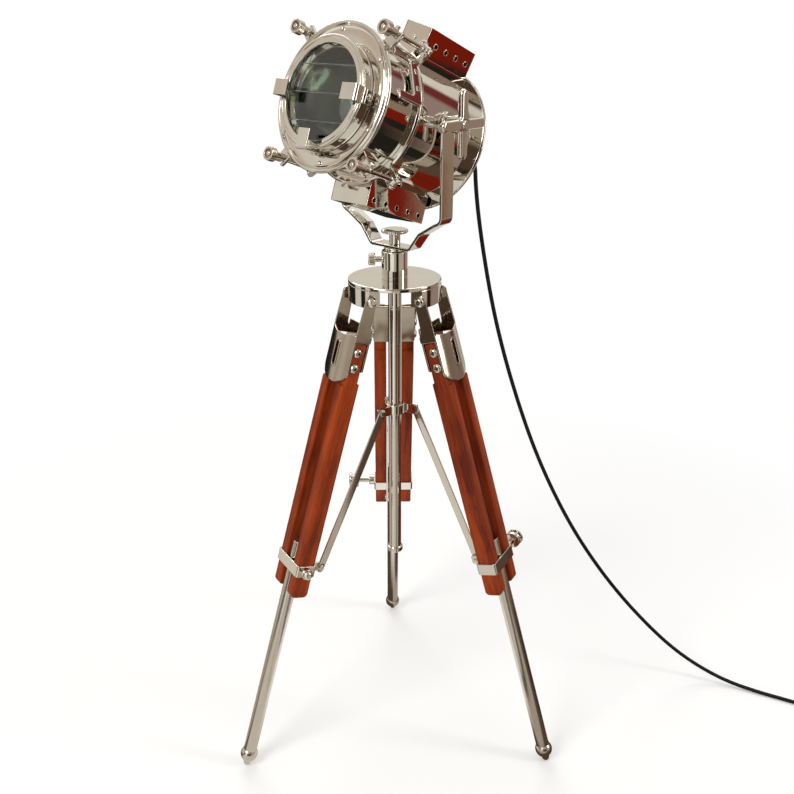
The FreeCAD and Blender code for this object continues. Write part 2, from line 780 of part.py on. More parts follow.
def pan_lock_screw():
    """Thumbscrew that holds the yoke's spigot in the socket."""
    tip = "(spigot_radius + running_fit + pan_lock_gap)"
    seat = "(socket_radius + seat_gap)"
    end = "(pan_lock_neck_length + pan_lock_knob_length)"
    head = turned([(0, 0), ("pan_lock_neck", 0), ("pan_lock_neck", "pan_lock_neck_length"),
                   ("pan_lock_knob_radius", "pan_lock_neck_length + pan_lock_chamfer"),
                   ("pan_lock_knob_radius", end + " - pan_lock_chamfer"),
                   ("pan_lock_knob_radius - pan_lock_rim", end), (0, end)],
                  seat, 0, "%s - pan_lock_drop" % SOCKET_TOP, "x")
    shank = rod("pan_lock_shank", "%s - %s" % (seat, tip), tip, 0,
                "%s - pan_lock_drop" % SOCKET_TOP, "x")
    node("pan_lock_screw", turn(join(head, shank), size("pan_lock_turn")))


def yoke_stud():
    """Spigot, flange and threaded shank under the yoke."""
    node("yoke_stud", join(rod("spigot_radius", "spigot_length",
                               z="%s - spigot_length" % FLANGE_LOW),
                           rod("stud_flange_radius", "stud_flange_height", z=FLANGE_LOW),
                           rod("stud_shank_radius", "stud_shank_length", z=YOKE_LOW)),
         yoke_frame)


def yoke():
    """Flat bar bent into a U with sloping knees, with a round eye at each end."""
    thick = size("yoke_thick")
    base = (size("crown_top") + size("socket_height") + size("seat_gap")
            + size("stud_flange_height") + thick / 2)
    arm = size("yoke_inside") / 2 + thick / 2
    side = [Vector(0, size("yoke_base_half"), base),
            Vector(0, size("yoke_knee_out"), base + size("yoke_knee_up")),
            Vector(0, size("yoke_hip_out"), base + size("yoke_hip_up")),
            Vector(0, arm, base + size("yoke_arm_up")),
            Vector(0, arm, size("trunnion_height"))]
    other = [Vector(0, -point.y, point.z) for point in reversed(side)]
    path = other + side
    bend = size("yoke_bend")
    radii = [bend * 0.8] + [bend] * (len(path) - 4) + [bend * 0.8]
    wire = tangent_wire(path, radii)
    half = size("yoke_width") / 2
    section = Part.makePolygon([Vector(x * half, -arm + y * thick / 2, size("trunnion_height"))
                                for x, y in ((-1, -1), (1, -1), (1, 1), (-1, 1), (-1, -1))])
    bar = shaped("yoke_bar", wire.makePipeShell([section], True, False))
    eyes = [rod("yoke_eye_radius", "yoke_thick", 0, low, "trunnion_height", "y")
            for low in (ARM_IN, "-" + ARM_OUT)]
    bores = [rod("trunnion_radius + running_fit", "yoke_inside + 2 * yoke_thick", 0,
                 "-" + ARM_OUT, "trunnion_height", "y"),
             rod("stud_shank_radius + running_fit", "yoke_thick", z=YOKE_LOW)]
    node("yoke", cut(join(bar, *eyes), *bores), yoke_frame)


def yoke_knob():
    """Round knob that clamps the yoke to its stud."""
    low = "(%s + yoke_thick + seat_gap)" % YOKE_LOW
    end = "(yoke_knob_stem_length + yoke_knob_height)"
    bore = "stud_shank_radius + running_fit"
    depth = "(stud_shank_length - yoke_thick)"
    profile = [(bore, 0), ("yoke_knob_stem_radius", 0),
               ("yoke_knob_stem_radius", "yoke_knob_stem_length"),
               ("yoke_knob_radius - yoke_knob_under", "yoke_knob_stem_length"),
               ("yoke_knob_radius", "yoke_knob_stem_length + yoke_knob_under"),
               ("yoke_knob_radius", end + " - yoke_knob_rim_height"),
               ("yoke_knob_radius - yoke_knob_rim", end),
               (0, end), (0, depth), (bore, depth)]
    node("yoke_knob", turned(profile, z=low), yoke_frame)


def tilt_nut(label, side):
    """Four-winged nut on the end of a trunnion."""
    low = "(%s + seat_gap)" % ARM_OUT
    wing = "nut_wing_width / 2"
    end = "(%s + nut_length)" % low
    wings = [block(across, ("%s - nut_wing_thick" % end, end), up)
             for across, up in ((("-nut_wing_reach", "nut_wing_reach"), ("-" + wing, wing)),
                                (("-" + wing, wing), ("-nut_wing_reach", "nut_wing_reach")))]
    tips = [rod(wing, "nut_wing_thick", x, "%s - nut_wing_thick" % end, z, "y")
            for x, z in (("nut_wing_reach", 0), ("-nut_wing_reach", 0),
                         (0, "nut_wing_reach"), (0, "-nut_wing_reach"))]
    nut = cut(join(rod("nut_hub_radius", "nut_length", 0, low, 0, "y"), *wings, *tips),
              rod("trunnion_radius + running_fit", "nut_length", 0, low, 0, "y"))
    node(label, turn(nut, 0 if side > 0 else 180), nut_frame)


def drum():
    """Thin cylinder with the belt flange at its front, slotted under both vents."""
    inner = "drum_radius - drum_wall"
    shell = turned([(inner, "drum_back"), ("drum_radius", "drum_back"),
                    ("drum_radius", "belt_back"), ("belt_radius", "belt_back"),
                    ("belt_radius", "belt_front"), (inner, "belt_front")], along="x")
    top_slot = block(("top_vent_back + top_vent_slot_inset",
                      "top_vent_front - top_vent_slot_inset"),
                     ("-top_vent_half / 2", "top_vent_half / 2"), ("0", "2 * drum_radius"))
    low_slot = block(("low_vent_back + low_vent_slot_inset",
                      "low_vent_front - low_vent_slot_inset"),
                     ("-low_vent_half / 2", "low_vent_half / 2"), ("-2 * drum_radius", "0"))
    slots = [turn(top_slot, size("top_vent_turn"), "x"), low_slot]
    bore = rod("boss_wide_radius - 4", "2 * drum_radius", 0, "-drum_radius", "drum_drop", "y")
    node("drum", cut(shell, *slots, bore), drum_frame)


def back_cover():
    """Disc with a rounded rim, bored for the switch."""
    rim = "back_radius - back_bead"
    disc = turned([(0, "drum_back - back_thick"), (rim, "drum_back - back_thick"),
                   (rim, "drum_back"), (0, "drum_back")], along="x")
    bead = ring(rim, "back_bead", "drum_back - back_thick / 2", along="x")
    bore = rod("switch_shaft_radius + running_fit", "back_thick", "drum_back - back_thick",
               "-switch_side", along="x")
    node("back_cover", cut(join(disc, bead), bore), drum_frame)


def trunnions():
    """A boss and a threaded stud on each side of the drum, on the tilt axis."""
    posts = []
    for side in ("", "-"):
        length = "(%s - seat_gap - drum_radius / 2)" % ARM_IN
        boss = cut(rod("boss_wide_radius", length, 0, side + "drum_radius / 2", 0, side + "y"),
                   rod("drum_radius + running_fit", "4 * boss_wide_radius",
                       "-2 * boss_wide_radius", 0, "-drum_drop", "x"))
        stud = rod("trunnion_radius", "trunnion_end - drum_radius", 0, side + "drum_radius", 0,
                   side + "y")
        posts.append(join(boss, stud))
    node("trunnions", group(*posts), head_frame)


def around(item, angle):
    """A copy turned about the lamp's axis; 0 is at the left nut's side, 90 on top."""
    return turn(item, angle, "x")


def door_ring():
    """Front ring: neck, flange with a beaded edge, four slotted lugs and six rivets."""
    inner = "drum_radius - drum_wall"
    shell = turned([(inner, NECK_BACK), ("drum_radius", NECK_BACK),
                    ("drum_radius", "flange_back"),
                    ("flange_radius - flange_bead", "flange_back"),
                    ("flange_radius - flange_bead", "flange_front"),
                    ("flange_bore", "flange_front"), ("flange_bore", "flange_back"),
                    (inner, "flange_back")], along="x")
    bead = ring("flange_radius - flange_bead", "flange_bead", "flange_front - flange_bead",
                along="x")
    lugs = []
    for angle in bolt_angles():
        lug_front = "bolt_lug_back + bolt_lug_thick"
        lug = cut(block(("bolt_lug_back", lug_front), ("drum_radius / 2", "bolt_lug_radius"),
                        ("-bolt_lug_width / 2", "bolt_lug_width / 2")),
                  block(("bolt_lug_back", lug_front), ("bolt_slot_floor", "bolt_lug_radius"),
                        ("-bolt_slot_half", "bolt_slot_half")),
                  rod("drum_radius", "flange_back", along="x"))
        lugs.append(around(lug, angle))
    rivets = []
    for count in range(6):
        rivet = turned([(0, -1), ("ring_rivet_radius", -1), ("ring_rivet_radius", 0),
                        ("ring_rivet_radius * 0.6", "ring_rivet_height"),
                        (0, "ring_rivet_height")], "flange_front", "ring_rivet_circle", 0, "x")
        rivets.append(around(rivet, size("ring_rivet_turn") + 60 * count))
    node("door_ring", group(join(shell, bead, *rivets), *lugs), drum_frame)


def door_hinge():
    """Flat U strap on the side of the neck, its arms reaching up to the bolt lug."""
    low = "drum_radius + door_hinge_lift"
    high = low + " + door_hinge_thick"
    half = "door_hinge_half"
    bar_end = "door_hinge_back + door_hinge_bar"
    bar = block(("door_hinge_back", bar_end), (low, high), ("-" + half, half))
    arms = [block(("door_hinge_back", "bolt_lug_back - side_gap"), (low, high), limits)
            for limits in ((half + " - door_hinge_bar", half),
                           ("-" + half, "-%s + door_hinge_bar" % half))]
    posts = [rod("bolt_pin_radius", low + " + door_hinge_thick / 2 - drum_radius * 0.9",
                 "door_hinge_back + door_hinge_bar / 2", "drum_radius * 0.9", z, "y")
             for z in ("door_hinge_bar", "-door_hinge_bar")]
    strap = cut(join(bar, *arms, *posts), rod("drum_radius", "flange_back", along="x"))
    node("door_hinge", around(strap, size("door_hinge_turn")), drum_frame)


def bezel():
    """Collar in front of the flange with an inward lip that holds the glass."""
    lip = "bezel_front - bezel_rim_length"
    node("bezel", turned([("flange_bore", "flange_front"), ("bezel_outer", "flange_front"),
                          ("bezel_outer", lip), ("bezel_rim_outer", lip),
                          ("bezel_rim_outer", "bezel_front"),
                          ("bezel_rim_inner", "bezel_front"), ("bezel_rim_inner", lip),
                          ("flange_bore", lip)], along="x"), drum_frame)


def glass():
    """Heat-proof glass cut into level strips."""
    front = "bezel_front - bezel_rim_length - seat_gap"
    disc = rod("flange_bore - side_gap", "glass_thick", front + " - glass_thick", along="x")
    gaps = [block((front + " - glass_thick", front), ("-flange_bore", "flange_bore"),
                  ("glass_pitch * %d - glass_gap / 2" % step,
                   "glass_pitch * %d + glass_gap / 2" % step)) for step in (-1, 0, 1)]
    node("glass", cut(disc, *gaps), drum_frame)


def reflector():
    """Spun bowl behind the glass, held by its rim in the neck."""
    bowl = cut(ball("reflector_radius", "reflector_centre"),
               ball("reflector_radius - reflector_wall", "reflector_centre"),
               rod("reflector_radius + 1", "reflector_radius + 1", "reflector_centre",
                   along="x"),
               rod("reflector_hole", "2 * reflector_radius",
                   "reflector_centre - 1.5 * reflector_radius", along="x"))
    rim = cut(rod("drum_radius - drum_wall - side_gap", "reflector_rim", "reflector_centre",
                  along="x"),
              rod("reflector_radius - reflector_wall", "reflector_rim", "reflector_centre",
                  along="x"))
    node("reflector", join(bowl, rim), drum_frame)


def lampholder():
    """Round lampholder on a stem from the back cover."""
    node("lampholder", join(rod("holder_radius", "holder_front - holder_back", "holder_back",
                                along="x"),
                            rod("holder_stem_radius", "holder_back - drum_back", "drum_back",
                                along="x")), drum_frame)


def bulb():
    """Round bulb in the lampholder."""
    node("bulb", join(ball("bulb_radius", "bulb_centre"),
                      rod("bulb_neck_radius", "bulb_centre - holder_front", "holder_front",
                          along="x")), drum_frame)


def vent_holes(front, back, count, half, up):
    """A row of round holes through both sides of a vent."""
    holes = []
    for step in range(count):
        station = "%s + (%s - (%s)) * %g" % (back, front, back, (step + 0.5) / count)
        holes.append(rod("vent_hole_radius", "2 * %s" % half, station, "-" + half, up, "y"))
    return holes


def vent_top():
    """Box hood on the drum, leaning to one side, with a narrow sill round its foot."""
    wall = "vent_wall"
    half = "top_vent_half"
    out = "top_vent_sill_out"
    hood = block(("top_vent_back", "top_vent_front"), ("-" + half, half),
                 ("drum_radius / 2", "top_vent_high"))
    sill = block(("top_vent_back", "top_vent_front + " + out),
                 ("-(%s + %s)" % (half, out), "%s + %s" % (half, out)),
                 ("drum_radius / 2", "top_vent_sill"))
    inside = block(("top_vent_back + " + wall, "top_vent_front - " + wall),
                   ("-%s + %s" % (half, wall), "%s - %s" % (half, wall)),
                   ("0", "top_vent_high - " + wall))
    drum_body = rod("drum_radius + running_fit", "-4 * top_vent_back", "2 * top_vent_back",
                    along="x")
    middle = "(top_vent_sill + top_vent_high) / 2"
    holes = vent_holes("top_vent_front", "top_vent_back", 4, half, middle)
    screw = rod("vent_hole_radius", wall, "top_vent_front", 0, middle, "x")
    vent = join(cut(join(hood, sill), inside, drum_body, *holes), screw)
    node("vent_top", turn(vent, size("top_vent_turn"), "x"), drum_frame)


def vent_bottom():
    """Box hood under the drum, open to it above."""
    wall = "vent_wall"
    box = block(("low_vent_back", "low_vent_front"), ("-low_vent_half", "low_vent_half"),
                ("-low_vent_low", "-drum_radius / 2"))
    inside = block(("low_vent_back + " + wall, "low_vent_front - " + wall),
                   ("-low_vent_half + " + wall, "low_vent_half - " + wall),
                   ("-low_vent_low + " + wall, "0"))
    drum_body = rod("drum_radius + running_fit", "low_vent_front - low_vent_back",
                    "low_vent_back", along="x")
    holes = vent_holes("low_vent_front", "low_vent_back", 5, "low_vent_half",
                       "-low_vent_low + 3 * vent_wall + vent_hole_radius")
    node("vent_bottom", cut(box, inside, drum_body, *holes), drum_frame)


def filter_clips():
    """Three bent spring clips on the bezel for a colour filter."""
    clips = []
    low = "(bezel_rim_outer + side_gap)"
    high = low + " + clip_thick"
    across = ("-clip_half", "clip_half")
    for angle in (0, 180, -90):
        clip = join(block(("flange_front + 1", "clip_front"), (low, high), across),
                    block(("clip_front - clip_thick", "clip_front"), ("clip_lip", high), across),
                    cut(block(("flange_front + 1", "flange_front + 1 + clip_foot"),
                              ("bezel_outer - 3", high), ("-clip_half / 2", "clip_half / 2")),
                        rod("bezel_outer", "clip_front", along="x")),
                    rod("bolt_pin_radius * 1.5", "clip_thick",
                        "flange_front + 1 + clip_foot / 2", high, 0, "y"))
        clips.append(around(clip, angle))
    node("filter_clips", group(*clips), drum_frame)


def bolt_angles():
    """Where the four swing bolts stand about the lamp's axis."""
    angle = size("bolt_turn")
    return (angle, 180 - angle, 180 + angle, -angle)


def bolt_clevises():
    """A slotted clevis with its pin on the belt for each swing bolt."""
    ears = []
    half = "clevis_width / 2"
    along = ("bolt_pin_station - clevis_length / 2", "bolt_pin_station + clevis_length / 2")
    for angle in bolt_angles():
        ear = cut(block(along, ("belt_radius - 2", "clevis_top"), ("-" + half, half)),
                  block(along, ("clevis_slot_floor", "clevis_top"),
                        ("-clevis_slot_half", "clevis_slot_half")),
                  rod("belt_radius", "bolt_end", along="x"))
        pin = rod("bolt_pin_radius", "clevis_width + 2", "bolt_pin_station", "bolt_circle",
                  "-%s - 1" % half)
        ears.append(around(join(ear, pin), angle))
    node("bolt_clevises", group(*ears), drum_frame)


def swing_bolt(number, angle):
    """Eye bolt that swings out on its clevis pin."""
    wide = "(clevis_slot_half - side_gap / 2)"
    eye = rod("bolt_eye_radius", "2 * " + wide, "bolt_pin_station", "bolt_circle", "-" + wide)
    shank = rod("bolt_radius", "bolt_end - bolt_pin_station", "bolt_pin_station",
                "bolt_circle", 0, "x")
    bore = rod("bolt_pin_radius + running_fit", "2 * " + wide, "bolt_pin_station",
               "bolt_circle", "-" + wide)
    node("swing_bolt_%d" % number, around(cut(join(eye, shank), bore), angle), drum_frame)


def swing_nut(number, angle):
    """Round nut with a long neck on a swing bolt."""
    bore = "bolt_radius + running_fit"
    end = "(bolt_nut_neck_length + bolt_nut_length)"
    profile = [(bore, 0), ("bolt_nut_neck", 0), ("bolt_nut_neck", "bolt_nut_neck_length"),
               ("bolt_nut_radius - bolt_nut_chamfer", "bolt_nut_neck_length"),
               ("bolt_nut_radius", "bolt_nut_neck_length + bolt_nut_chamfer"),
               ("bolt_nut_radius", end + " - bolt_nut_chamfer"),
               ("bolt_nut_radius - bolt_nut_chamfer", end), (bore, end)]
    nut = turned(profile, "bolt_lug_back + bolt_lug_thick + bolt_nut_gap", "bolt_circle", 0, "x")
    node("swing_nut_%d" % number, around(nut, angle), drum_frame)


def cord_gland():
    """Gland nut on the back cover with a tapered strain relief."""
    body_end = "(gland_nut_length + gland_body_length)"
    end = "(gland_relief_end + drum_back - back_thick)"
    profile = [(0, 0), ("gland_nut_radius", 0), ("gland_nut_radius", "gland_nut_length"),
               ("gland_body_radius", "gland_nut_length"), ("gland_body_radius", body_end),
               ("gland_relief_radius", body_end), ("gland_tip_radius", end), (0, end)]
    node("cord_gland", turned(profile, "drum_back - back_thick", "gland_side", 0, "-x"),
         drum_frame)


def switch_knob():
    """Rotary switch knob with a pointer rib, its shaft through the back cover."""
    face = "drum_back - back_thick - seat_gap"
    knob = turned([(0, 0), ("switch_knob_radius", 0),
                   ("switch_knob_radius", "switch_knob_length * 0.3"),
                   ("switch_knob_radius - 1", "switch_knob_length * 0.4"),
                   (0, "switch_knob_length * 0.4")], face, "-switch_side", 0, "-x")
    rib = block((face + " - switch_knob_length", face),
                ("-switch_side - 2", "-switch_side + 2"),
                ("-switch_knob_radius + 1", "switch_knob_radius - 1"))
    shaft = rod("switch_shaft_radius", "back_thick + 2 * seat_gap + 2",
                "%s" % face, "-switch_side", 0, "x")
    node("switch_knob", join(knob, rib, shaft), drum_frame)


# Points of the cord's route from where it has left the strain relief to the coil
CORD_ROUTE = (
    (84.0, 71.6, 640.0),
    (85.2, 72.3, 620.0),
    (89.3, 72.0, 586.0),
    (98.3, 72.0, 535.0),
    (110.0, 72.0, 480.0),
    (124.5, 72.0, 427.0),
    (142.0, 72.0, 373.0),
    (163.0, 72.0, 316.0),
    (188.0, 72.0, 260.0),
    (217.0, 72.0, 205.0),
    (251.0, 71.0, 152.0),
    (287.0, 68.5, 105.0),
    (322.0, 63.0, 67.0),
    (354.0, 55.0, 38.0),
    (387.0, 44.5, 17.0),
    (421.0, 29.0, 5.0),
    (455.0, 12.0, 2.3),
    (484.0, -2.0, 2.3),
)


def cord():
    """Lead from the gland to the floor, its coil put away beside the lamp, and the plug."""
    diameter = size("cord_diameter")
    exit_along = size("gland_relief_end") + size("seat_gap")
    start = drum_frame.multVec(Vector(-exit_along, size("gland_side"), 0))
    outward = drum_frame.Rotation.multVec(Vector(-1, 0, 0))
    centre = Vector(size("coil_x"), size("coil_y"), diameter / 2)
    last = Vector(*CORD_ROUTE[-1])
    away = centre - last
    tangent_turn = math.acos(size("coil_radius") / away.Length)
    radial = Rotation(AXES["z"], math.degrees(tangent_turn)).multVec(away * -1).normalize()
    touch = centre + radial * size("coil_radius")
    points = [start, start + outward * (2 * diameter)]
    points += [Vector(*point) for point in CORD_ROUTE] + [touch]
    radii = []
    for before, point, after in zip(points, points[1:], points[2:]):
        shorter = min((point - before).Length, (after - point).Length)
        half = (point - before).getAngle(after - point) / 2
        radii.append(0.45 * shorter / math.tan(half))
    wire = tangent_wire(points, radii)
    circle = Part.Wire(Part.Circle(start, outward, diameter / 2).toShape())
    tube = wire.makePipeShell([circle], True, False)
    print("cord radii", " ".join("%.0f" % radius for radius in radii))
    print("cord runs", " ".join("%.0f" % (b - a).Length for a, b in zip(points, points[1:])))
    print("cord length %.1f, volume ratio %.5f"
          % (wire.Length, tube.Volume / (math.pi * diameter ** 2 / 4 * wire.Length)))
    node("cord_tube", shaped("cord_tube_shape", tube))

    width = "cord_diameter * coil_columns / 2"
    height = "cord_diameter * 1.87"
    corner = "cord_diameter * 0.35"
    low_r = "coil_radius - " + width
    high_r = "coil_radius + " + width
    profile = [(low_r + " + " + corner, 0), (high_r + " - " + corner, 0), (high_r, corner),
               (high_r, "%s - %s" % (height, corner)), (high_r + " - 2 * " + corner, height),
               (low_r + " + 2 * " + corner, height), (low_r, "%s - %s" % (height, corner)),
               (low_r, corner)]
    node("cord_coil", turned(profile, "coil_x", "coil_y", 0))

    axis_x = "coil_x + coil_radius + cord_diameter"
    tail = "coil_y + plug_gap"
    half_high = "plug_height / 2"
    body = block((axis_x + " - plug_width / 2", axis_x + " + plug_width / 2"),
                 (tail + " + plug_tail", tail + " + plug_tail + plug_length"),
                 ("0", "plug_height"))
    lead = rod("cord_diameter / 2", "plug_gap", axis_x, "coil_y", half_high, "y")
    relief = turned([(0, 0), ("cord_diameter * 0.65", 0), ("cord_diameter", "plug_tail"),
                     (0, "plug_tail")], axis_x, tail, half_high, "y")
    node("plug", join(body, lead, relief))
    blades = []
    for side in ("", "-"):
        middle = "%s %s pin_pitch / 2" % (axis_x, side or "+")
        blades.append(block((middle + " - pin_thick / 2", middle + " + pin_thick / 2"),
                            (tail + " + plug_tail + plug_length",
                             tail + " + plug_tail + plug_length + pin_length"),
                            (half_high + " - pin_width / 2", half_high + " + pin_width / 2")))
    node("plug_pins", group(*blades))


crown()
column()
hinge_pins()
brace_collar()
for leg in (1, 2, 3):
    leg_rails(leg)
    leg_head_bracket(leg)
    leg_screws(leg)
    leg_clamp(leg)
    leg_clamp_knob(leg)
    leg_extension(leg)
    brace(leg)
pan_socket()
pan_lock_screw()
yoke_stud()
yoke()
yoke_knob()
tilt_nut("tilt_nut_left", 1)
tilt_nut("tilt_nut_right", -1)
drum()
back_cover()
trunnions()
door_ring()
door_hinge()
bezel()
glass()
reflector()
lampholder()
bulb()
vent_top()
vent_bottom()
filter_clips()
bolt_clevises()
for bolt, place in enumerate(bolt_angles(), 1):
    swing_bolt(bolt, place)
    swing_nut(bolt, place)
cord_gland()
switch_knob()
cord()

doc.recompute()
for item in doc.Objects:
    if "Invalid" in item.State or "Error" in item.State:
        raise RuntimeError("%s (%s) failed: %s" % (item.Name, item.Label, item.State))
for item in nodes:
    if item.Shape.isNull() or not item.Shape.isValid():
        raise RuntimeError("%s has no valid shape" % item.Label)
    if not item.Shape.Solids:
        raise RuntimeError("%s has no solid" % item.Label)

os.makedirs("parts", exist_ok=True)
for item in nodes:
    item.Shape.exportStep(os.path.join("parts", item.Label + ".step"))
print("%d sub-parts" % len(nodes))
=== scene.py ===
import json
import math

import bmesh
import bpy
from mathutils import Matrix, Vector

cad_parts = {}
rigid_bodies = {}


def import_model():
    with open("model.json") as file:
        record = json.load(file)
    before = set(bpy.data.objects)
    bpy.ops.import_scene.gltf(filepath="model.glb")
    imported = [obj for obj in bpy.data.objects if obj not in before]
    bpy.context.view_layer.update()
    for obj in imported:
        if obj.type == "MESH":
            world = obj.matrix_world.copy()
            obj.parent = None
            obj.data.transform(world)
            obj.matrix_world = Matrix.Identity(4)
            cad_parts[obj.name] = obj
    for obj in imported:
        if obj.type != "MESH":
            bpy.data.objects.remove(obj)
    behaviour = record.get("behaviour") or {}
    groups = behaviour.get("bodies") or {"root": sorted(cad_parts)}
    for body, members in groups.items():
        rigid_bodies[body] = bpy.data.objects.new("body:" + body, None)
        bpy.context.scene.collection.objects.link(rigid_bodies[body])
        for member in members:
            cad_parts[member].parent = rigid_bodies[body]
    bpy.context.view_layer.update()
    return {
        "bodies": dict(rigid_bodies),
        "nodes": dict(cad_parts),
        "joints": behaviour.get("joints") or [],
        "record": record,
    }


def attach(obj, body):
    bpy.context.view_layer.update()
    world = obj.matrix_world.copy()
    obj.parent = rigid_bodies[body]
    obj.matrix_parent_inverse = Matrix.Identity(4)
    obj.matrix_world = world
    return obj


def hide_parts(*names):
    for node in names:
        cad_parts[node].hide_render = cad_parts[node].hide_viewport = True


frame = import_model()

# Camera: a long lens at the eye height of a seated person, straight in front of the lamp. It
# stands a little above the drum and looks down at the stand.
camera_place = (-0.00220, -0.89377, 0.77958)
camera_down = 22.553
camera_right = 0.283
camera_lens = 41.157
camera_data = bpy.data.cameras.new("camera")
camera_data.lens = camera_lens
camera_data.sensor_width = 36
camera_data.clip_start = 0.01
camera = bpy.data.objects.new("camera", camera_data)
camera.location = camera_place
camera.rotation_euler = (math.radians(90 - camera_down), 0, -math.radians(camera_right))
bpy.context.collection.objects.link(camera)
bpy.context.scene.camera = camera
bpy.context.scene.view_settings.view_transform = "Standard"


# Studio floor: a wide sheet of matt white board. It keeps the lamp's soft shadow and fades to
# plain white. Away from the lamp, mirrored rays see it glow in bands of colour: painted
# reflections.
def new_material(name):
    material = bpy.data.materials.new(name)
    material.use_nodes = True
    tree = material.node_tree
    tree.nodes.clear()
    return material, tree


def add_node(tree, kind, inputs, **settings):
    """Adds a shader node, sets its properties, and sets or links its inputs."""
    item = tree.nodes.new(kind)
    for name, value in settings.items():
        setattr(item, name, value)
    for name, value in inputs.items():
        socket = item.inputs[name]
        if isinstance(value, bpy.types.NodeSocket):
            tree.links.new(value, socket)
        else:
            socket.default_value = value
    return item


def maths(tree, operation, first, second, clamp=False):
    return add_node(tree, "ShaderNodeMath", {0: first, 1: second}, operation=operation,
                    use_clamp=clamp).outputs[0]


def rescale(tree, value, low, high, to_low=0.0, to_high=1.0):
    """A value between low and high, drawn out to run from to_low to to_high."""
    return add_node(tree, "ShaderNodeMapRange", {
        "Value": value, "From Min": low, "From Max": high, "To Min": to_low,
        "To Max": to_high}).outputs[0]


def mix_colours(tree, share, first, second):
    return add_node(tree, "ShaderNodeMix", {"Factor": share, "A": first, "B": second},
                    data_type="RGBA").outputs[2]


def mix_light(tree, share, first, second):
    return add_node(tree, "ShaderNodeMixShader", {0: share, 1: first, 2: second}).outputs[0]


def shine_of(tree, kind, colour, strength=1.0):
    return add_node(tree, kind, {"Color": colour, "Strength": strength}).outputs[0]


def ramp(tree, value, stops):
    """A colour ramp through (place, colour) stops."""
    item = add_node(tree, "ShaderNodeValToRGB", {"Fac": value})
    points = item.color_ramp.elements
    while len(points) < len(stops):
        points.new(0.5)
    for point, (spot, colour) in zip(points, stops):
        point.position = spot
        point.color = (*colour, 1)
    return item.outputs["Color"]


def bands(*steps, soft=2.0):
    """Ramp stops from (angle up to, colour) steps that go round from the back by the left."""
    stops = []
    start = -180
    for number, (end, colour) in enumerate(steps):
        stops.append(((start + (soft if number else 0) + 180) / 360, colour))
        stops.append(((end - soft + 180) / 360, colour))
        start = end
    return stops


def azimuth(tree, direction):
    """The share of a turn of a direction: 0 and 1 behind, 0.25 left, 0.5 in front, 0.75 right."""
    parts = add_node(tree, "ShaderNodeSeparateXYZ", {0: direction})
    front = maths(tree, "MULTIPLY", parts.outputs["Y"], -1.0)
    angle = maths(tree, "ARCTAN2", parts.outputs["X"], front)
    return rescale(tree, angle, -math.pi, math.pi)


floor_size = 4.6
floor_colour = (0.80, 0.80, 0.80, 1)
floor_glow = 0.16
fade_reach = (0.50, 1.00)
lamp_shade = (0.10, 0.16)
near_edge = (0.84, 0.88)
further_edge = (1.36, 1.44)
doorway_end = (2.10, 2.03)
white = (1, 1, 1, 1)
black = (0.018, 0.016, 0.012)
brown = (0.10, 0.065, 0.042)
beige = (0.50, 0.43, 0.35)
tan = (0.30, 0.215, 0.15)
sand = (0.62, 0.53, 0.44)
pale = (0.74, 0.69, 0.61)
bright = (0.98, 0.96, 0.92)
deep_red = (0.20, 0.012, 0.004)
dusky_red = (0.17, 0.032, 0.028)
rose = (0.34, 0.25, 0.225)
floor_mesh = bpy.data.meshes.new("floor")
floor_bm = bmesh.new()
bmesh.ops.create_grid(floor_bm, x_segments=2, y_segments=2, size=floor_size)
floor_bm.to_mesh(floor_mesh)
floor_bm.free()
floor = bpy.data.objects.new("floor", floor_mesh)
floor.location = (0.1, 0, -0.0002)
bpy.context.collection.objects.link(floor)
floor_paint, tree = new_material("floor_paint")
place = add_node(tree, "ShaderNodeNewGeometry", {}).outputs["Position"]
reach = add_node(tree, "ShaderNodeVectorMath", {0: place}, operation="LENGTH").outputs["Value"]
paths = add_node(tree, "ShaderNodeLightPath", {}).outputs
matt = add_node(tree, "ShaderNodeBsdfDiffuse", {"Color": floor_colour}).outputs[0]
glow = shine_of(tree, "ShaderNodeEmission", white, floor_glow)
lit = add_node(tree, "ShaderNodeAddShader", {0: matt, 1: glow}).outputs[0]
seen = maths(tree, "MAXIMUM", paths["Is Camera Ray"], paths["Is Transmission Ray"])
far = maths(tree, "MULTIPLY", rescale(tree, reach, *fade_reach), seen)
plain_floor = mix_light(tree, far, lit, shine_of(tree, "ShaderNodeEmission", white))
turn = azimuth(tree, place)
# Painted reflections: glowing bands of room colour by turn and distance, seen only by mirrored
# rays.
near_by = ramp(tree, turn, bands(
    (-128, brown), (-70, beige), (-62, brown), (-16, pale), (-10, beige), (12, pale),
    (24, black), (52, beige), (80, brown), (95, black), (108, brown), (150, deep_red),
    (164, brown), (180, beige)))
further = ramp(tree, turn, bands(
    (-112, black), (-72, pale), (-40, brown), (-8, bright), (12, beige), (34, black),
    (46, beige), (74, brown), (87, black), (91, brown), (101, rose), (112, brown), (118, black),
    (180, pale)))
beyond = ramp(tree, turn, bands(
    (-112, black), (-90, pale), (-76, black), (-62, pale), (-40, brown), (-8, bright),
    (12, beige), (34, black), (84, beige), (96.9, deep_red), (100.5, tan), (118, rose),
    (135, rose), (180, pale), soft=0.8))
off_near = rescale(tree, reach, *near_edge)
off_further = rescale(tree, reach, *further_edge)
rings = mix_colours(tree, off_further, mix_colours(tree, off_near, near_by, further), beyond)
# A black band far out: a painted reflection of a dark doorway.
painted_doorway = ramp(tree, turn, [(0.735, (0, 0, 0)), (0.742, (1, 1, 1)), (0.766, (1, 1, 1)),
                            (0.770, (0, 0, 0))])
depth = maths(tree, "MULTIPLY", rescale(tree, reach, *doorway_end), off_further)
dark = maths(tree, "MULTIPLY", depth, painted_doorway)
# The bands glow as emission: painted reflections, not lit floor.
painted_reflection = shine_of(tree, "ShaderNodeEmission", mix_colours(tree, dark, rings, (*black, 1)))
off_lamp = rescale(tree, reach, *lamp_shade)
mirrored = maths(tree, "MULTIPLY", paths["Is Glossy Ray"], off_lamp)
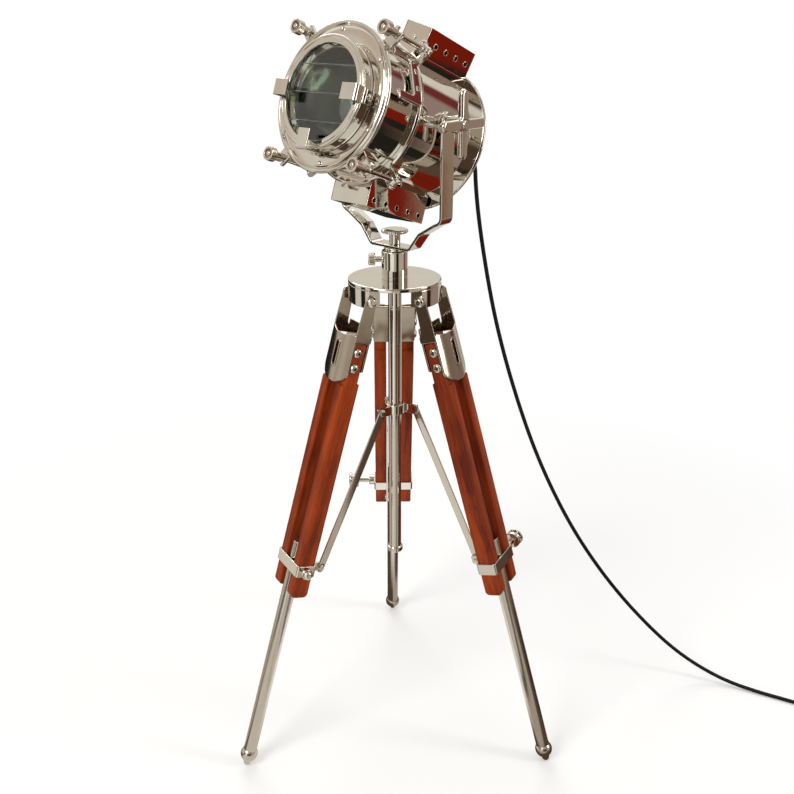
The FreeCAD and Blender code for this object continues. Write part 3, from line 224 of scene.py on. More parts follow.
add_node(tree, "ShaderNodeOutputMaterial",
         {"Surface": mix_light(tree, mirrored, plain_floor, painted_reflection)})
floor_mesh.materials.append(floor_paint)

# Studio walls and light: white to the eye, lit by three softboxes. Mirrored rays see painted
# reflections instead: bands for dark doorways, deep red panelling on the right and a bright
# ceiling.
ceiling_line = (0.36, 0.50)
daylight_colour = (1, 0.99, 0.975, 1)
daylight_strength = 0.62
softbox_colour = (1, 0.98, 0.95)
world = bpy.data.worlds.new("studio")
bpy.context.scene.world = world
world.use_nodes = True
tree = world.node_tree
tree.nodes.clear()
ray = add_node(tree, "ShaderNodeTexCoord", {}).outputs["Generated"]
turn = azimuth(tree, ray)
# Painted reflections of the room's walls and ceiling, seen only by mirrored rays.
painted_walls = ramp(tree, turn, bands(
    (-104, pale), (-96, sand), (-84, pale), (-66, sand), (-52, black), (-20, bright),
    (-12, black), (6, brown), (34, black), (70, beige), (100.5, tan), (118, rose),
    (131, dusky_red), (152, pale), (163, brown), (180, pale)))
painted_ceiling = ramp(tree, turn, bands(
    (-106, bright), (-60, sand), (-40, brown), (-15, bright), (40, beige), (60, brown),
    (110, bright), (130, beige), (180, bright), soft=6))
height = add_node(tree, "ShaderNodeSeparateXYZ", {0: ray}).outputs["Z"]
painted_room = mix_colours(tree, rescale(tree, height, *ceiling_line), painted_walls, painted_ceiling)
paths = add_node(tree, "ShaderNodeLightPath", {}).outputs
bounced = maths(tree, "GREATER_THAN", paths["Glossy Depth"], 0.5)
mirrored = maths(tree, "MAXIMUM", paths["Is Glossy Ray"], bounced)
daylight = shine_of(tree, "ShaderNodeBackground", daylight_colour, daylight_strength)
glossy = mix_light(tree, mirrored, daylight, shine_of(tree, "ShaderNodeBackground", painted_room))
straight = maths(tree, "SUBTRACT", paths["Is Transmission Ray"], bounced, clamp=True)
clear = maths(tree, "MAXIMUM", paths["Is Camera Ray"], straight)
shown = mix_light(tree, clear, glossy, shine_of(tree, "ShaderNodeBackground", white))
add_node(tree, "ShaderNodeOutputWorld", {"Surface": shown})


def softbox(name, place, target, width, height, power):
    data = bpy.data.lights.new(name, "AREA")
    data.shape = "RECTANGLE"
    data.size = width
    data.size_y = height
    data.energy = power
    data.color = softbox_colour
    lamp = bpy.data.objects.new(name, data)
    lamp.location = place
    aim = Vector(target) - Vector(place)
    lamp.rotation_euler = aim.to_track_quat("-Z", "Y").to_euler()
    bpy.context.collection.objects.link(lamp)


softbox("key_light", (-1.15, -1.25, 1.75), (0, 0, 0.35), 0.9, 0.9, 20)
softbox("side_light", (1.55, -0.35, 1.05), (0, 0, 0.45), 0.35, 1.1, 7)
softbox("back_light", (-0.3, 1.4, 1.6), (0, 0, 0.4), 1.2, 0.5, 10)


# Lead: a limp round mains cord in a matt black sleeve. It hangs from the drum's gland in one
# long curve to the floor and is put away in a neat coil of five turns beside the lamp.
def turned(degrees, axis="Z"):
    return Matrix.Rotation(math.radians(degrees), 4, axis)


def noise(tree, scale, detail=2.0, **inputs):
    """A cloudy pattern from 0 to 1."""
    return add_node(tree, "ShaderNodeTexNoise", {"Scale": scale, "Detail": detail,
                                                 **inputs}).outputs["Fac"]


def bump(tree, strength, distance, height):
    return add_node(tree, "ShaderNodeBump", {"Strength": strength, "Distance": distance,
                                             "Height": height}).outputs[0]


def surface(tree, colour, roughness, inputs):
    """The finish itself, joined to the material's output."""
    skin = add_node(tree, "ShaderNodeBsdfPrincipled",
                    {"Base Color": colour, "Roughness": roughness, **inputs})
    add_node(tree, "ShaderNodeOutputMaterial", {"Surface": skin.outputs[0]})


cord_black = (0.005, 0.005, 0.0055, 1)
cord_diameter = 0.0045
cord_route = (
    (84.0, 71.6, 640.0), (85.2, 72.3, 620.0), (89.3, 72.0, 586.0), (98.3, 72.0, 535.0),
    (110.0, 72.0, 480.0), (124.5, 72.0, 427.0), (142.0, 72.0, 373.0), (163.0, 72.0, 316.0),
    (188.0, 72.0, 260.0), (217.0, 72.0, 205.0), (251.0, 71.0, 152.0), (287.0, 68.5, 105.0),
    (322.0, 63.0, 67.0), (354.0, 55.0, 38.0), (387.0, 44.5, 17.0), (421.0, 29.0, 5.0),
    (455.0, 12.0, 2.3), (484.0, -2.0, 2.3))
coil_centre = Vector((0.5365, -0.001, 0))
coil_radius = 0.025
coil_points = 14
points_short = 4
coil_start = math.atan2(-0.89, -0.46)
turn_radii = (0.0, 1.0, -1.0, -0.5, 0.5)
layers = (0.0, 0.0, 0.0, 1.0, 1.0)
first_layer = 0.51
layer_rise = 0.87
step_over = 2.5
pan_turn = 227.72
tilt_turn = 20.3
tilt_height = 0.6934
yoke_frame = turned(pan_turn)
head_frame = Matrix.Translation((0, 0, tilt_height)) @ yoke_frame @ turned(-tilt_turn, "Y")
drum_drop = 0.0057
drum_frame = head_frame @ Matrix.Translation((0, 0, -drum_drop))
relief_end = 0.1020
gland_side = 0.014
cord_exit = drum_frame @ Vector((-relief_end, gland_side, 0))
cord_away = (drum_frame.to_3x3() @ Vector((-1, 0, 0))).normalized()
route = [cord_exit, cord_exit + cord_away * 2 * cord_diameter]
route += [Vector(point) / 1000 for point in cord_route]
for step in range(coil_points * len(turn_radii) - points_short):
    lap = step / coil_points
    number = int(lap)
    before = max(number - 1, 0)
    change = min(1.0, (lap - number) * step_over)
    offset = turn_radii[before] + (turn_radii[number] - turn_radii[before]) * change
    lift = layers[before] + (layers[number] - layers[before]) * change
    angle = coil_start + 2 * math.pi * lap
    radius = coil_radius + offset * cord_diameter
    route.append(coil_centre + Vector((math.cos(angle) * radius, math.sin(angle) * radius,
                                       cord_diameter * (first_layer + layer_rise * lift))))
cord_centre = bpy.data.curves.new("cord", "CURVE")
cord_centre.dimensions = "3D"
cord_centre.resolution_u = 8
line = cord_centre.splines.new("NURBS")
line.points.add(len(route) - 1)
for point, place in zip(line.points, route):
    point.co = (*place, 1)
line.order_u = 3
line.use_endpoint_u = True
cord_centre.bevel_depth = cord_diameter / 2
cord_centre.bevel_resolution = 5
cord = bpy.data.objects.new("cord", cord_centre)
bpy.context.collection.objects.link(cord)
sleeve, tree = new_material("cord_sleeve")
grain = noise(tree, 1800.0)
surface(tree, cord_black, rescale(tree, grain, 0, 1, 0.42, 0.58),
        {"Specular IOR Level": 0.25, "Normal": bump(tree, 0.25, 0.0002, grain)})
cord_centre.materials.append(sleeve)
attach(cord, "yoke")
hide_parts("cord_tube", "cord_coil")


# Crown: a turned disc with three hinge blocks under its rim, of cast brass. It is polished and
# nickel plated, with the faint waves and wipe marks that hand polishing leaves.
def new_group(name, inputs, outputs):
    """A shader node group with named sockets; colours are 'Color', numbers are 'Float'."""
    group = bpy.data.node_groups.new(name, "ShaderNodeTree")
    for label, kind, value in inputs:
        socket = group.interface.new_socket(label, in_out="INPUT",
                                            socket_type="NodeSocket" + kind)
        socket.default_value = value
    for label, kind in outputs:
        group.interface.new_socket(label, in_out="OUTPUT", socket_type="NodeSocket" + kind)
    given = group.nodes.new("NodeGroupInput").outputs
    return group, given, group.nodes.new("NodeGroupOutput").inputs


marks_group, given, result = new_group(
    "polish_marks",
    [("Size", "Float", 40.0), ("Low", "Float", 0.05), ("High", "Float", 0.2),
     ("Grit", "Float", 900.0)],
    [("Roughness", "Float"), ("Height", "Float"), ("Marks", "Float")])
spot = add_node(marks_group, "ShaderNodeTexCoord", {}).outputs["Object"]
smear = noise(marks_group, given["Size"], 5.0, Vector=spot, Roughness=0.62)
grit = noise(marks_group, given["Grit"], Vector=spot)
dust = maths(marks_group, "MULTIPLY", rescale(marks_group, smear, 0.38, 0.72), grit)
rough = rescale(marks_group, dust, 0, 1, given["Low"], given["High"])
for label, value in (("Roughness", rough), ("Height", smear), ("Marks", dust)):
    marks_group.links.new(value, result[label])


def use_group(tree, group, values):
    """Puts a group into a material with the given input values, and returns its outputs."""
    item = add_node(tree, "ShaderNodeGroup", {}, node_tree=group)
    for label, value in values.items():
        item.inputs[label].default_value = value
    return item.outputs


def metal(name, clean, dull, low, high, wave, size=40.0, grit=900.0):
    """A metal finish: its clean and its marked colour, roughness range and waviness."""
    material, tree = new_material(name)
    marks = use_group(tree, marks_group, {"Size": size, "Low": low, "High": high,
                                          "Grit": grit})
    tint = mix_colours(tree, marks["Marks"], (*clean, 1), (*dull, 1))
    surface(tree, tint, marks["Roughness"],
            {"Metallic": 1.0, "Normal": bump(tree, 0.6, wave, marks["Height"])})
    return material


nickel = metal("polished_nickel", (0.76, 0.735, 0.675), (0.66, 0.62, 0.56), 0.035, 0.11, 0.00010)


def arc(x, y, radius, first, last, steps):
    """Points of an arc between two angles in degrees."""
    angles = [math.radians(first + (last - first) * step / steps) for step in range(steps + 1)]
    return [(x + radius * math.cos(angle), y + radius * math.sin(angle)) for angle in angles]


def softened(corners, closed=True, steps=4):
    """A line of (x, y) or (x, y, radius) corners with each given radius rounded."""
    line = []
    count = len(corners)
    for number, corner in enumerate(corners):
        here = Vector(corner[:2])
        radius = corner[2] if len(corner) > 2 else 0
        if radius <= 0 or (not closed and number in (0, count - 1)):
            line.append(here)
            continue
        before = Vector(corners[number - 1][:2]) - here
        after = Vector(corners[(number + 1) % count][:2]) - here
        half = before.angle(after) / 2
        reach = min(radius / math.tan(half), 0.495 * before.length, 0.495 * after.length)
        radius = reach * math.tan(half)
        before.normalize()
        after.normalize()
        centre = here + (before + after).normalized() * (radius / math.sin(half))
        first = here + before * reach - centre
        last = here + after * reach - centre
        start = math.atan2(first.y, first.x)
        sweep = math.atan2(last.y, last.x) - start
        sweep = (sweep + math.pi) % (2 * math.pi) - math.pi
        for step in range(steps + 1):
            angle = start + sweep * step / steps
            line.append(centre + Vector((math.cos(angle), math.sin(angle))) * radius)
    return line


def lathe(profile, frame=Matrix(), closed=False, segments=96, flutes=None):
    """A turned shape; profile is (radius, station[, rounding]), flutes is (count, depth)."""
    shape = bmesh.new()
    line = softened(profile, closed)
    widest = max(point.x for point in line)
    rings = []
    for point in line:
        if point.x < 1e-6:
            rings.append([shape.verts.new((0, 0, point.y))])
            continue
        ring = []
        for step in range(segments):
            angle = 2 * math.pi * step / segments
            radius = point.x
            if flutes and radius > widest * 0.8:
                radius -= flutes[1] * (0.5 - 0.5 * math.cos(flutes[0] * angle)) ** 2
            ring.append(shape.verts.new((radius * math.cos(angle), radius * math.sin(angle),
                                         point.y)))
        rings.append(ring)
    pairs = list(zip(rings, rings[1:]))
    if closed:
        pairs.append((rings[-1], rings[0]))
    for low, high in pairs:
        for step in range(segments):
            after = (step + 1) % segments
            corners = [low[step % len(low)], low[after % len(low)], high[after % len(high)],
                       high[step % len(high)]]
            unique = list(dict.fromkeys(corners))
            if len(unique) > 2:
                shape.faces.new(unique)
    shape.transform(frame)
    return shape


def plate(loops, thick, frame=Matrix(), edge=0.4, steps=2):
    """A flat plate with softened edges: the first loop is its outline, the rest are holes."""
    edge = min(edge, thick * 0.49)
    curve = bpy.data.curves.new("plate", "CURVE")
    curve.dimensions = "2D"
    curve.fill_mode = "BOTH"
    for loop in loops:
        spline = curve.splines.new("POLY")
        spline.points.add(len(loop) - 1)
        for point, corner in zip(spline.points, loop):
            point.co = (corner[0], corner[1], 0, 1)
        spline.use_cyclic_u = True
    curve.extrude = thick / 2 - edge
    curve.bevel_depth = edge
    curve.offset = -edge
    curve.bevel_resolution = steps
    holder = bpy.data.objects.new("plate", curve)
    mesh = bpy.data.meshes.new_from_object(holder)
    shape = bmesh.new()
    shape.from_mesh(mesh)
    bmesh.ops.remove_doubles(shape, verts=shape.verts, dist=0.001)
    shape.transform(frame)
    bpy.data.objects.remove(holder)
    bpy.data.curves.remove(curve)
    bpy.data.meshes.remove(mesh)
    return shape


def piece(name, shapes, body, node, frame=Matrix(), material=nickel, slot="nickel", crease=32):
    """Joins shapes into one mesh, sets it into its frame, finishes it and puts it on its body.

    The shapes are in millimetres in the piece's own frame. The mesh keeps each point's place
    in that frame for the grain of the wood."""
    mesh = bpy.data.meshes.new(name)
    whole = bmesh.new()
    for shape in shapes:
        bmesh.ops.recalc_face_normals(shape, faces=shape.faces)
        if shape.calc_volume(signed=True) < 0:
            bmesh.ops.reverse_faces(shape, faces=shape.faces)
        shape.to_mesh(mesh)
        whole.from_mesh(mesh)
        shape.free()
    bmesh.ops.scale(whole, vec=(0.001, 0.001, 0.001), verts=whole.verts)
    whole.to_mesh(mesh)
    whole.free()
    own_place = mesh.attributes.new("place", "FLOAT_VECTOR", "POINT")
    for spot, vert in zip(own_place.data, mesh.vertices):
        spot.vector = vert.co
    mesh.transform(frame)
    mesh.shade_smooth()
    mesh.set_sharp_from_angle(angle=math.radians(crease))
    mesh.materials.append(material)
    thing = bpy.data.objects.new(name, mesh)
    bpy.context.collection.objects.link(thing)
    flats = thing.modifiers.new("true_flats", "WEIGHTED_NORMAL")
    flats.weight = 100
    flats.keep_sharp = True
    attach(thing, body)
    if node:
        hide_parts(node)
    return thing


leg_angles = (210.93, 330.93, 90.93)
crown_top = 540.0
crown_radius = 47.3
crown_thick = 4.0
crown_under = crown_top - crown_thick
block_drop = 18.0
block_inner = 30.0
block_half = 21.5
block_turn = math.degrees(math.asin(block_half / crown_radius))
shapes = [lathe([(0, crown_under), (crown_radius, crown_under, 0.8),
                 (crown_radius, crown_top, 1.3), (0, crown_top)], segments=160)]
for angle in leg_angles:
    loop = [(block_inner, -block_half), *arc(0, 0, crown_radius, -block_turn, block_turn, 24),
            (block_inner, block_half)]
    lift = Matrix.Translation((0, 0, crown_under - block_drop / 2))
    shapes.append(plate([loop], block_drop, turned(angle) @ lift, edge=0.6))
piece("crown_disc", shapes, "stand", "crown")


# Column: a long polished brass tube, nickel plated, pressed into the crown. A stop ring at its
# foot keeps the collar from falling off.
column_low = 220.0
column_radius = 6.9
column_bore = column_radius - 1.2
stop_radius = 8.7
stop_high = column_low + 6
piece("column", [lathe([(column_bore, column_low), (stop_radius, column_low, 1.2),
                        (stop_radius, stop_high, 1.2), (column_radius, stop_high),
                        (column_radius, crown_top + 8), (column_bore, crown_top + 8)],
                       closed=True)], "stand", "column_tube")


# Hinge pins: round-headed steel pins through the crown's blocks, one for each leg. Each is
# pressed in and plated with the crown.
def along(axis, origin=(0, 0, 0)):
    """A frame whose z points along axis."""
    return Matrix.Translation(origin) @ Vector(axis).to_track_quat("Z", "Y").to_matrix().to_4x4()


hinge_circle = 41.0
hinge_height = 525.5
pin_seat = 24.4
shapes = []
for angle in leg_angles:
    for side in (1, -1):
        place = along((0, side, 0), (hinge_circle, side * pin_seat, hinge_height))
        shapes.append(lathe([(0, -3), (3, -3), (3, 0), (5, 0, 0.4), (5, 1.9, 1.4),
                             (3, 3.9, 1.6), (0, 3.9)], turned(angle) @ place, segments=48))
piece("hinge_pins", shapes, "stand", "leg_hinge_pins")


# Pan socket: a polished brass post screwed to the crown. It has a fine turned line at its foot
# and a bored mouth for the yoke's stud.
socket_radius = 13.2
socket_bore = 8.1
socket_top = crown_top + 27.3
piece("socket_post", [lathe([(socket_radius, crown_top - 1), (socket_radius, crown_top + 1.4),
                             (12.9, crown_top + 1.7), (socket_radius, crown_top + 2.0),
                             (socket_radius, socket_top, 0.8), (socket_bore, socket_top, 0.4),
                             (socket_bore, crown_top - 1)], closed=True)],
      "stand", "pan_socket")


# Legs: each has two bars of varnished hardwood that run past a steel foot tube. Their edges
# are rounded, and their heads are recessed under the metal head that they are screwed to.
wood_group, given, result = new_group(
    "wood_grain",
    [("Light", "Color", (0.5, 0.1, 0.02, 1)), ("Dark", "Color", (0.1, 0.02, 0.005, 1)),
     ("Ring Size", "Float", 60.0)],
    [("Color", "Color"), ("Height", "Float"), ("Pores", "Float")])
spot = add_node(wood_group, "ShaderNodeAttribute", {}, attribute_name="place").outputs["Vector"]
drift = add_node(wood_group, "ShaderNodeTexNoise", {"Vector": spot, "Scale": 9.0})
wander = add_node(wood_group, "ShaderNodeVectorMath", {0: drift.outputs["Color"],
                                                       1: (0.012, 0.012, 0.1)},
                  operation="MULTIPLY")
bent = add_node(wood_group, "ShaderNodeVectorMath", {0: spot, 1: wander.outputs[0]})
long_way = add_node(wood_group, "ShaderNodeVectorMath", {0: bent.outputs[0],
                                                         1: (1.0, 1.0, 0.045)},
                    operation="MULTIPLY").outputs[0]
growth = noise(wood_group, given["Ring Size"], 4.0, Vector=long_way, Roughness=0.6)
fine = noise(wood_group, 900.0, 3.0, Vector=long_way)
broad = noise(wood_group, 14.0, Vector=spot)
pores = rescale(wood_group, fine, 0.40, 0.62)
streaks = maths(wood_group, "MULTIPLY", rescale(wood_group, growth, 0.36, 0.64), 0.62)
total = maths(wood_group, "ADD", streaks, maths(wood_group, "MULTIPLY", pores, 0.24))
shift = rescale(wood_group, broad, 0.3, 0.7, -0.15, 0.25)
share = maths(wood_group, "ADD", total, shift, clamp=True)
colour = mix_colours(wood_group, share, given["Dark"], given["Light"])
for label, value in (("Color", colour), ("Height", fine), ("Pores", pores)):
    wood_group.links.new(value, result[label])

wood, tree = new_material("varnished_wood")
grain = use_group(tree, wood_group, {"Light": (0.40, 0.054, 0.003, 1),
                                     "Dark": (0.095, 0.010, 0.0022, 1), "Ring Size": 85.0})
surface(tree, grain["Color"], rescale(tree, grain["Pores"], 0, 1, 0.46, 0.34),
        {"Normal": bump(tree, 0.25, 0.0002, grain["Height"]), "Specular IOR Level": 0.14,
         "Coat Weight": 0.05, "Coat Roughness": 0.22})

leg_lean = 16.54
leg_spread = math.radians(leg_lean)
rail_gap = 17.0
rail_thick = 13.5
rail_outward = 8.0
rail_inward = 11.0
rail_recess = 2.4
rail_top = 44.0
rail_end = 325.0
recess_end = 85.0
cover_radius = 60.0
cover_crown = 12.0
cover_end = 88.0
cover_thick = 2.2


def facing(across, up, origin=(0, 0, 0)):
    """A frame whose x and y are across and up."""
    across = Vector(across).normalized()
    up = Vector(up).normalized()
    square = Matrix((across, up, across.cross(up))).transposed().to_4x4()
    return Matrix.Translation(origin) @ square


def upright(side, turn=Matrix()):
    """A frame for plates that stand along x and z, side millimetres along y."""
    return turn @ facing((1, 0, 0), (0, 0, 1), (0, side, 0))


def leg_frame(number):
    """Origin on the hinge pin, x outward, y along the pin, z up along the leg."""
    hinge = Matrix.Translation((hinge_circle / 1000, 0, hinge_height / 1000))
    return turned(leg_angles[number - 1]) @ hinge @ turned(-leg_lean, "Y")


def leg_piece(number, part, shapes, node, body="leg_%d", **finish):
    """A piece of one leg; its names and its body carry the leg's number."""
    piece("leg_%d_%s" % (number, part), shapes, body % number,
          "leg_%d_%s" % (number, node) if node else None, leg_frame(number), **finish)


def cut_line(shape, spot, across):
    """Adds points where a plane meets the shape, so that it can be bent there."""
    bmesh.ops.bisect_plane(shape, geom=shape.verts[:] + shape.edges[:] + shape.faces[:],
                           plane_co=spot, plane_no=across)


def under_cover(side):
    """How far out the wood may reach under the bowed cover, side millimetres off centre."""
    return cover_crown - cover_radius + math.sqrt((cover_radius - cover_thick) ** 2 - side ** 2)


for number in (1, 2, 3):
    shapes = []
    for side in (1, -1):
        recessed = -(rail_inward - rail_recess)
        outline = softened([(recessed, -rail_top, 1.5), (rail_outward, -rail_top, 1.5),
                            (rail_outward, -rail_end, 4.5), (-rail_inward, -rail_end, 4.5),
                            (-rail_inward, -recess_end, 0.8), (recessed, -recess_end, 0.8)])
        bar = plate([outline], rail_thick, upright(side * (rail_gap + rail_thick) / 2),
                    edge=1.6, steps=3)
        cut_line(bar, (0, 0, -cover_end - 0.3), (0, 0, 1))
        cut_line(bar, (0, 0, -cover_end - 0.1), (0, 0, 1))
        for vert in bar.verts:
            if vert.co.z > -cover_end - 0.2:
                vert.co.x = min(vert.co.x, under_cover(vert.co.y))
        shapes.append(bar)
    leg_piece(number, "bars", shapes, "rails", material=wood, slot="wood")


# Leg heads: a bowed cover with a long slot, two flat hinge straps and an inner plate, of drawn
# nickel-plated sheet. They are brazed into one and screwed to the wood.
strap_low = 22.1
strap_high = 24.1
plate_face = -10.9
cover_half = 24.0
head_nickel = metal("drawn_nickel", (0.50, 0.455, 0.38), (0.40, 0.36, 0.29), 0.12, 0.22,
                    0.00006)
for number in (1, 2, 3):
    tab = softened([(-7.5, -31, 6), (plate_face, -36, 2), (plate_face, -42, 1.5),
                    (7, -42, 1.5), (7, -30, 6), (6, -2, 8), (5.54, 2.3), (4.24, 4.24),
                    (2.3, 5.54), (0, 6), (-2.3, 5.54), (-4.24, 4.24), (-5.54, 2.3),
                    (-6, -2, 8)])
    shapes = [plate([tab], strap_high - strap_low, upright(side * (strap_low + strap_high) / 2))
              for side in (1, -1)]
    outline = softened([(-cover_half, -34, 3), (-8, -38, 8), (8, -38, 8), (cover_half, -34, 3),
                        (cover_half, -77, 8), (16.8, -84.15, 10), (7.2, -cover_end, 10),
                        (-7.2, -cover_end, 10), (-16.8, -84.15, 10), (-cover_half, -77, 8)])
    slot_loop = softened([(-2.5, -46, 2.45), (-2.5, -72, 2.45), (2.5, -72, 2.45),
                          (2.5, -46, 2.45)], steps=8)
    lip_loop = softened([(-4.6, -43.9, 4.5), (-4.6, -74.1, 4.5), (4.6, -74.1, 4.5),
                         (4.6, -43.9, 4.5)], steps=8)
    sheet = plate([outline, slot_loop], 2, edge=0.7)
    lip = plate([lip_loop, slot_loop], 3.0, Matrix.Translation((0, 0, 0.2)), edge=0.6)
    for part in (sheet, lip):
        for step in range(-11, 12):
            cut_line(part, (step * 2.1, 0, 0), (1, 0, 0))
        for vert in part.verts:
            side, up, rise = vert.co
            out = math.sqrt((cover_radius - 1 + rise) ** 2 - side * side)
            vert.co = (cover_crown - cover_radius + out, side, up)
        shapes.append(part)
    inner = softened([(-22.6, -27, 2), (22.6, -27, 2), (22.6, -72.5, 2), (-22.6, -72.5, 2)])
    shapes.append(plate([inner], 2, facing((0, 1, 0), (0, 0, 1), (plate_face + 1, 0, 0)),
                        edge=0.6))
    leg_piece(number, "head", shapes, "head_bracket", material=head_nickel)


# Leg screws: round-headed machine screws with a small hexagon socket, of plated steel. Two go
# into each side of the wood. Each socket is a dark hexagon disc in the head's recess: painted
# shade.
# A dark finish for the socket discs: painted shade for the depth of each socket.
socket_shade_paint = metal("painted_socket_shade", (0.10, 0.095, 0.09), (0.05, 0.05, 0.05), 0.3, 0.5, 0.00002)
screw_side = 22.0
screw_stations = (53, 69)
for number in (1, 2, 3):
    heads = []
    socket_shade_discs = []
    for side in (1, -1):
        for station in screw_stations:
            seat = along((0, side, 0), (0, side * screw_side, -station))
            heads.append(lathe([(0, -4), (2, -4), (2, 0), (5, 0, 0.3), (5, 1.1, 1.2),
                                (3.4, 3.1, 2.2), (1.6, 3.2, 0.2), (1.5, 2.2), (0, 2.2)],
                               seat, segments=48))
            # Dark hexagon disc: painted shade for the depth of the socket.
            socket_shade_discs.append(lathe([(0, 2.1), (1.55, 2.1), (1.55, 2.3), (0, 2.3)], seat,
                                 segments=6))
    leg_piece(number, "screw_heads", heads, "screws")
    leg_piece(number, "painted_socket_shades", socket_shade_discs, None, material=socket_shade_paint)


# Clamps: a band of nickelled strip round the foot of the wood. A threaded boss is brazed to it
# for its knob, and an ear that carries the brace's pin.
band_low = -299.5
band_high = -287.0
band_middle = (band_low + band_high) / 2
ear_height = -296.5
ear_reach = 28
ear_middle = 5.55
pin_profile = [(0, 0), (2, 0), (2, 4.9), (3.2, 4.9, 0.3), (3.2, 6.1, 0.6), (0, 6.1)]
pin_start = 4.3
for number in (1, 2, 3):
    outer = softened([(-12.7, -23.7, 2.5), (9.7, -23.7, 2.5), (9.7, 23.7, 2.5),
                      (-12.7, 23.7, 2.5)])
    inside = softened([(-11.1, -22.1, 1), (8.1, -22.1, 1), (8.1, 22.1, 1), (-11.1, 22.1, 1)])
    band = plate([outer, inside], band_high - band_low,
                 Matrix.Translation((0, 0, band_middle)), edge=0.5)
    boss = lathe([(0, 0), (6, 0), (6, 7.9, 0.8), (2.6, 7.9, 0.3), (2.6, 7)],
                 along((0, 1, 0), (0, 22.1, band_middle)), segments=48)
    ear_loop = softened([(-11.1, -5), (-11.1, 5), (-28, 5, 4.95), (-33, 5, 4.95),
                         (-33, -5, 4.95), (-28, -5, 4.95)], steps=8)
    ear = plate([ear_loop], 2.5,
                facing((1, 0, 0), (0, 0, 1), (0, ear_middle, ear_height)))
    pin = lathe(pin_profile, along((0, 1, 0), (-ear_reach, pin_start, ear_height)), segments=40)
    leg_piece(number, "band", [band, boss, ear, pin], "clamp")


# Clamp screws: turned and plated. Two legs have a long-necked knob with a waist and a double
# rim, and the third a plain round head.
for number in (1, 2, 3):
    seat = along((0, 1, 0), (0, 30.3, band_middle))
    if number == 1:
        knob = lathe([(0, -20), (2.5, -20), (2.5, 0), (5, 0, 0.3), (5, 1.6, 0.8),
                      (3, 3.9, 2.5), (0, 4)], seat, segments=48)
    else:
        knob = lathe([(0, -20), (2.5, -20), (2.5, 0), (3, 0, 0.3), (3, 13, 1),
                      (8.6, 13.2, 0.5), (9, 16, 0.8), (6.5, 17.5, 1.2), (6.5, 20.6, 1.2),
                      (9, 22, 0.8), (9, 24.4, 1.2), (3, 25, 1), (0, 25)], seat, segments=72)
    leg_piece(number, "knob", [knob], "clamp_knob", body="leg_%d_lock")


# Feet: drawn steel tubes, brushed dull, that slide between the bars and are held by the clamp.
# Each ends in a turned ball and a tapered tip.
satin = metal("brushed_steel", (0.66, 0.62, 0.56), (0.58, 0.54, 0.49), 0.18, 0.27, 0.00003,
              size=60.0, grit=1600.0)
tube_radius = 7.25
ball_radius = 9.5
tip_radius = 4
foot_centre = (hinge_height - tip_radius + 0.3) / math.cos(leg_spread)
ball_centre = foot_centre - 11
for number in (1, 2, 3):
    profile = [(0, -268.5), (6.05, -268), (tube_radius, -268, 0.3),
               (tube_radius, -ball_centre + 6.5, 0.8),
               *arc(0, -ball_centre, ball_radius, 40, -52, 16),
               (4.3, -foot_centre + 0.8), (tip_radius, -foot_centre),
               *arc(0, -foot_centre, tip_radius, 0, -90, 8)[1:-1],
               (0, -foot_centre - tip_radius)]
    foot = lathe(profile, segments=72)
    to_room = leg_frame(number) @ Matrix.Scale(0.001, 4)
    for vert in foot.verts:
        low = to_room @ vert.co
        if low.z < 0:
            low.z = 0
            vert.co = to_room.inverted() @ low
    leg_piece(number, "foot", [foot], "extension", body="foot_%d", material=satin,
              slot="satin_steel")


# Braces: flat nickelled strips with round ends, pinned to the leg below and to the sliding
# collar above. The lower hole is a short slot that lets the leg fold.
collar_height = 396.5
lug_reach = 20
brace_half = 4
brace_side = 8
slot_shift = 2
brace_up = Vector((lug_reach, 0, collar_height))
ear_out = hinge_circle - ear_height * math.sin(leg_spread) - ear_reach * math.cos(leg_spread)
ear_up = hinge_height + ear_height * math.cos(leg_spread) - ear_reach * math.sin(leg_spread)
brace_length = (Vector((ear_out, 0, ear_up)) - brace_up).length
brace_lean = math.atan2(ear_out - brace_up.x, brace_up.z - ear_up)
for number in (1, 2, 3):
    outline = (arc(0, -brace_length - slot_shift, brace_half, 180, 360, 12)
               + arc(0, 0, brace_half, 0, 180, 12))
    slot_loop = softened([(-2.55, -brace_length + 4.5, 2.5), (-2.55, -brace_length - 4.5, 2.5),
                          (2.55, -brace_length - 4.5, 2.5), (2.55, -brace_length + 4.5, 2.5)])
    pin_hole = arc(0, 0, 2.1, 0, 360, 48)[:-1]
    strip = plate([outline, pin_hole, slot_loop], 2, upright(brace_side), edge=0.35)
    place = (turned(leg_angles[number - 1]) @ Matrix.Translation(brace_up / 1000)
             @ Matrix.Rotation(-brace_lean, 4, "Y"))
    piece("brace_%d_strip" % number, [strip], "brace_%d_link" % number, "brace_%d" % number,
          place)


# Brace collar: a turned brass ring that slides on the column. It has a lug and a headed pin for
# each brace.
collar_low = 391
collar_high = 402
shapes = [lathe([(7, collar_low), (10, collar_low, 0.8), (10, collar_high, 0.8),
                 (7, collar_high)], closed=True)]
for angle in leg_angles:
    lug = softened([(7.9, 391.5), (7.9, 401.5), (20, 401.5, 4.9), (25, 401.5, 4.9),
                    (25, 391.5, 4.9), (20, 391.5, 4.9)], steps=8)
    shapes.append(plate([lug], 2.5, upright(ear_middle, turned(angle))))
    shapes.append(lathe(pin_profile, turned(angle) @ along((0, 1, 0),
                                                           (lug_reach, pin_start, collar_height)),
                        segments=40))
piece("collar_ring", shapes, "collar", "brace_collar")


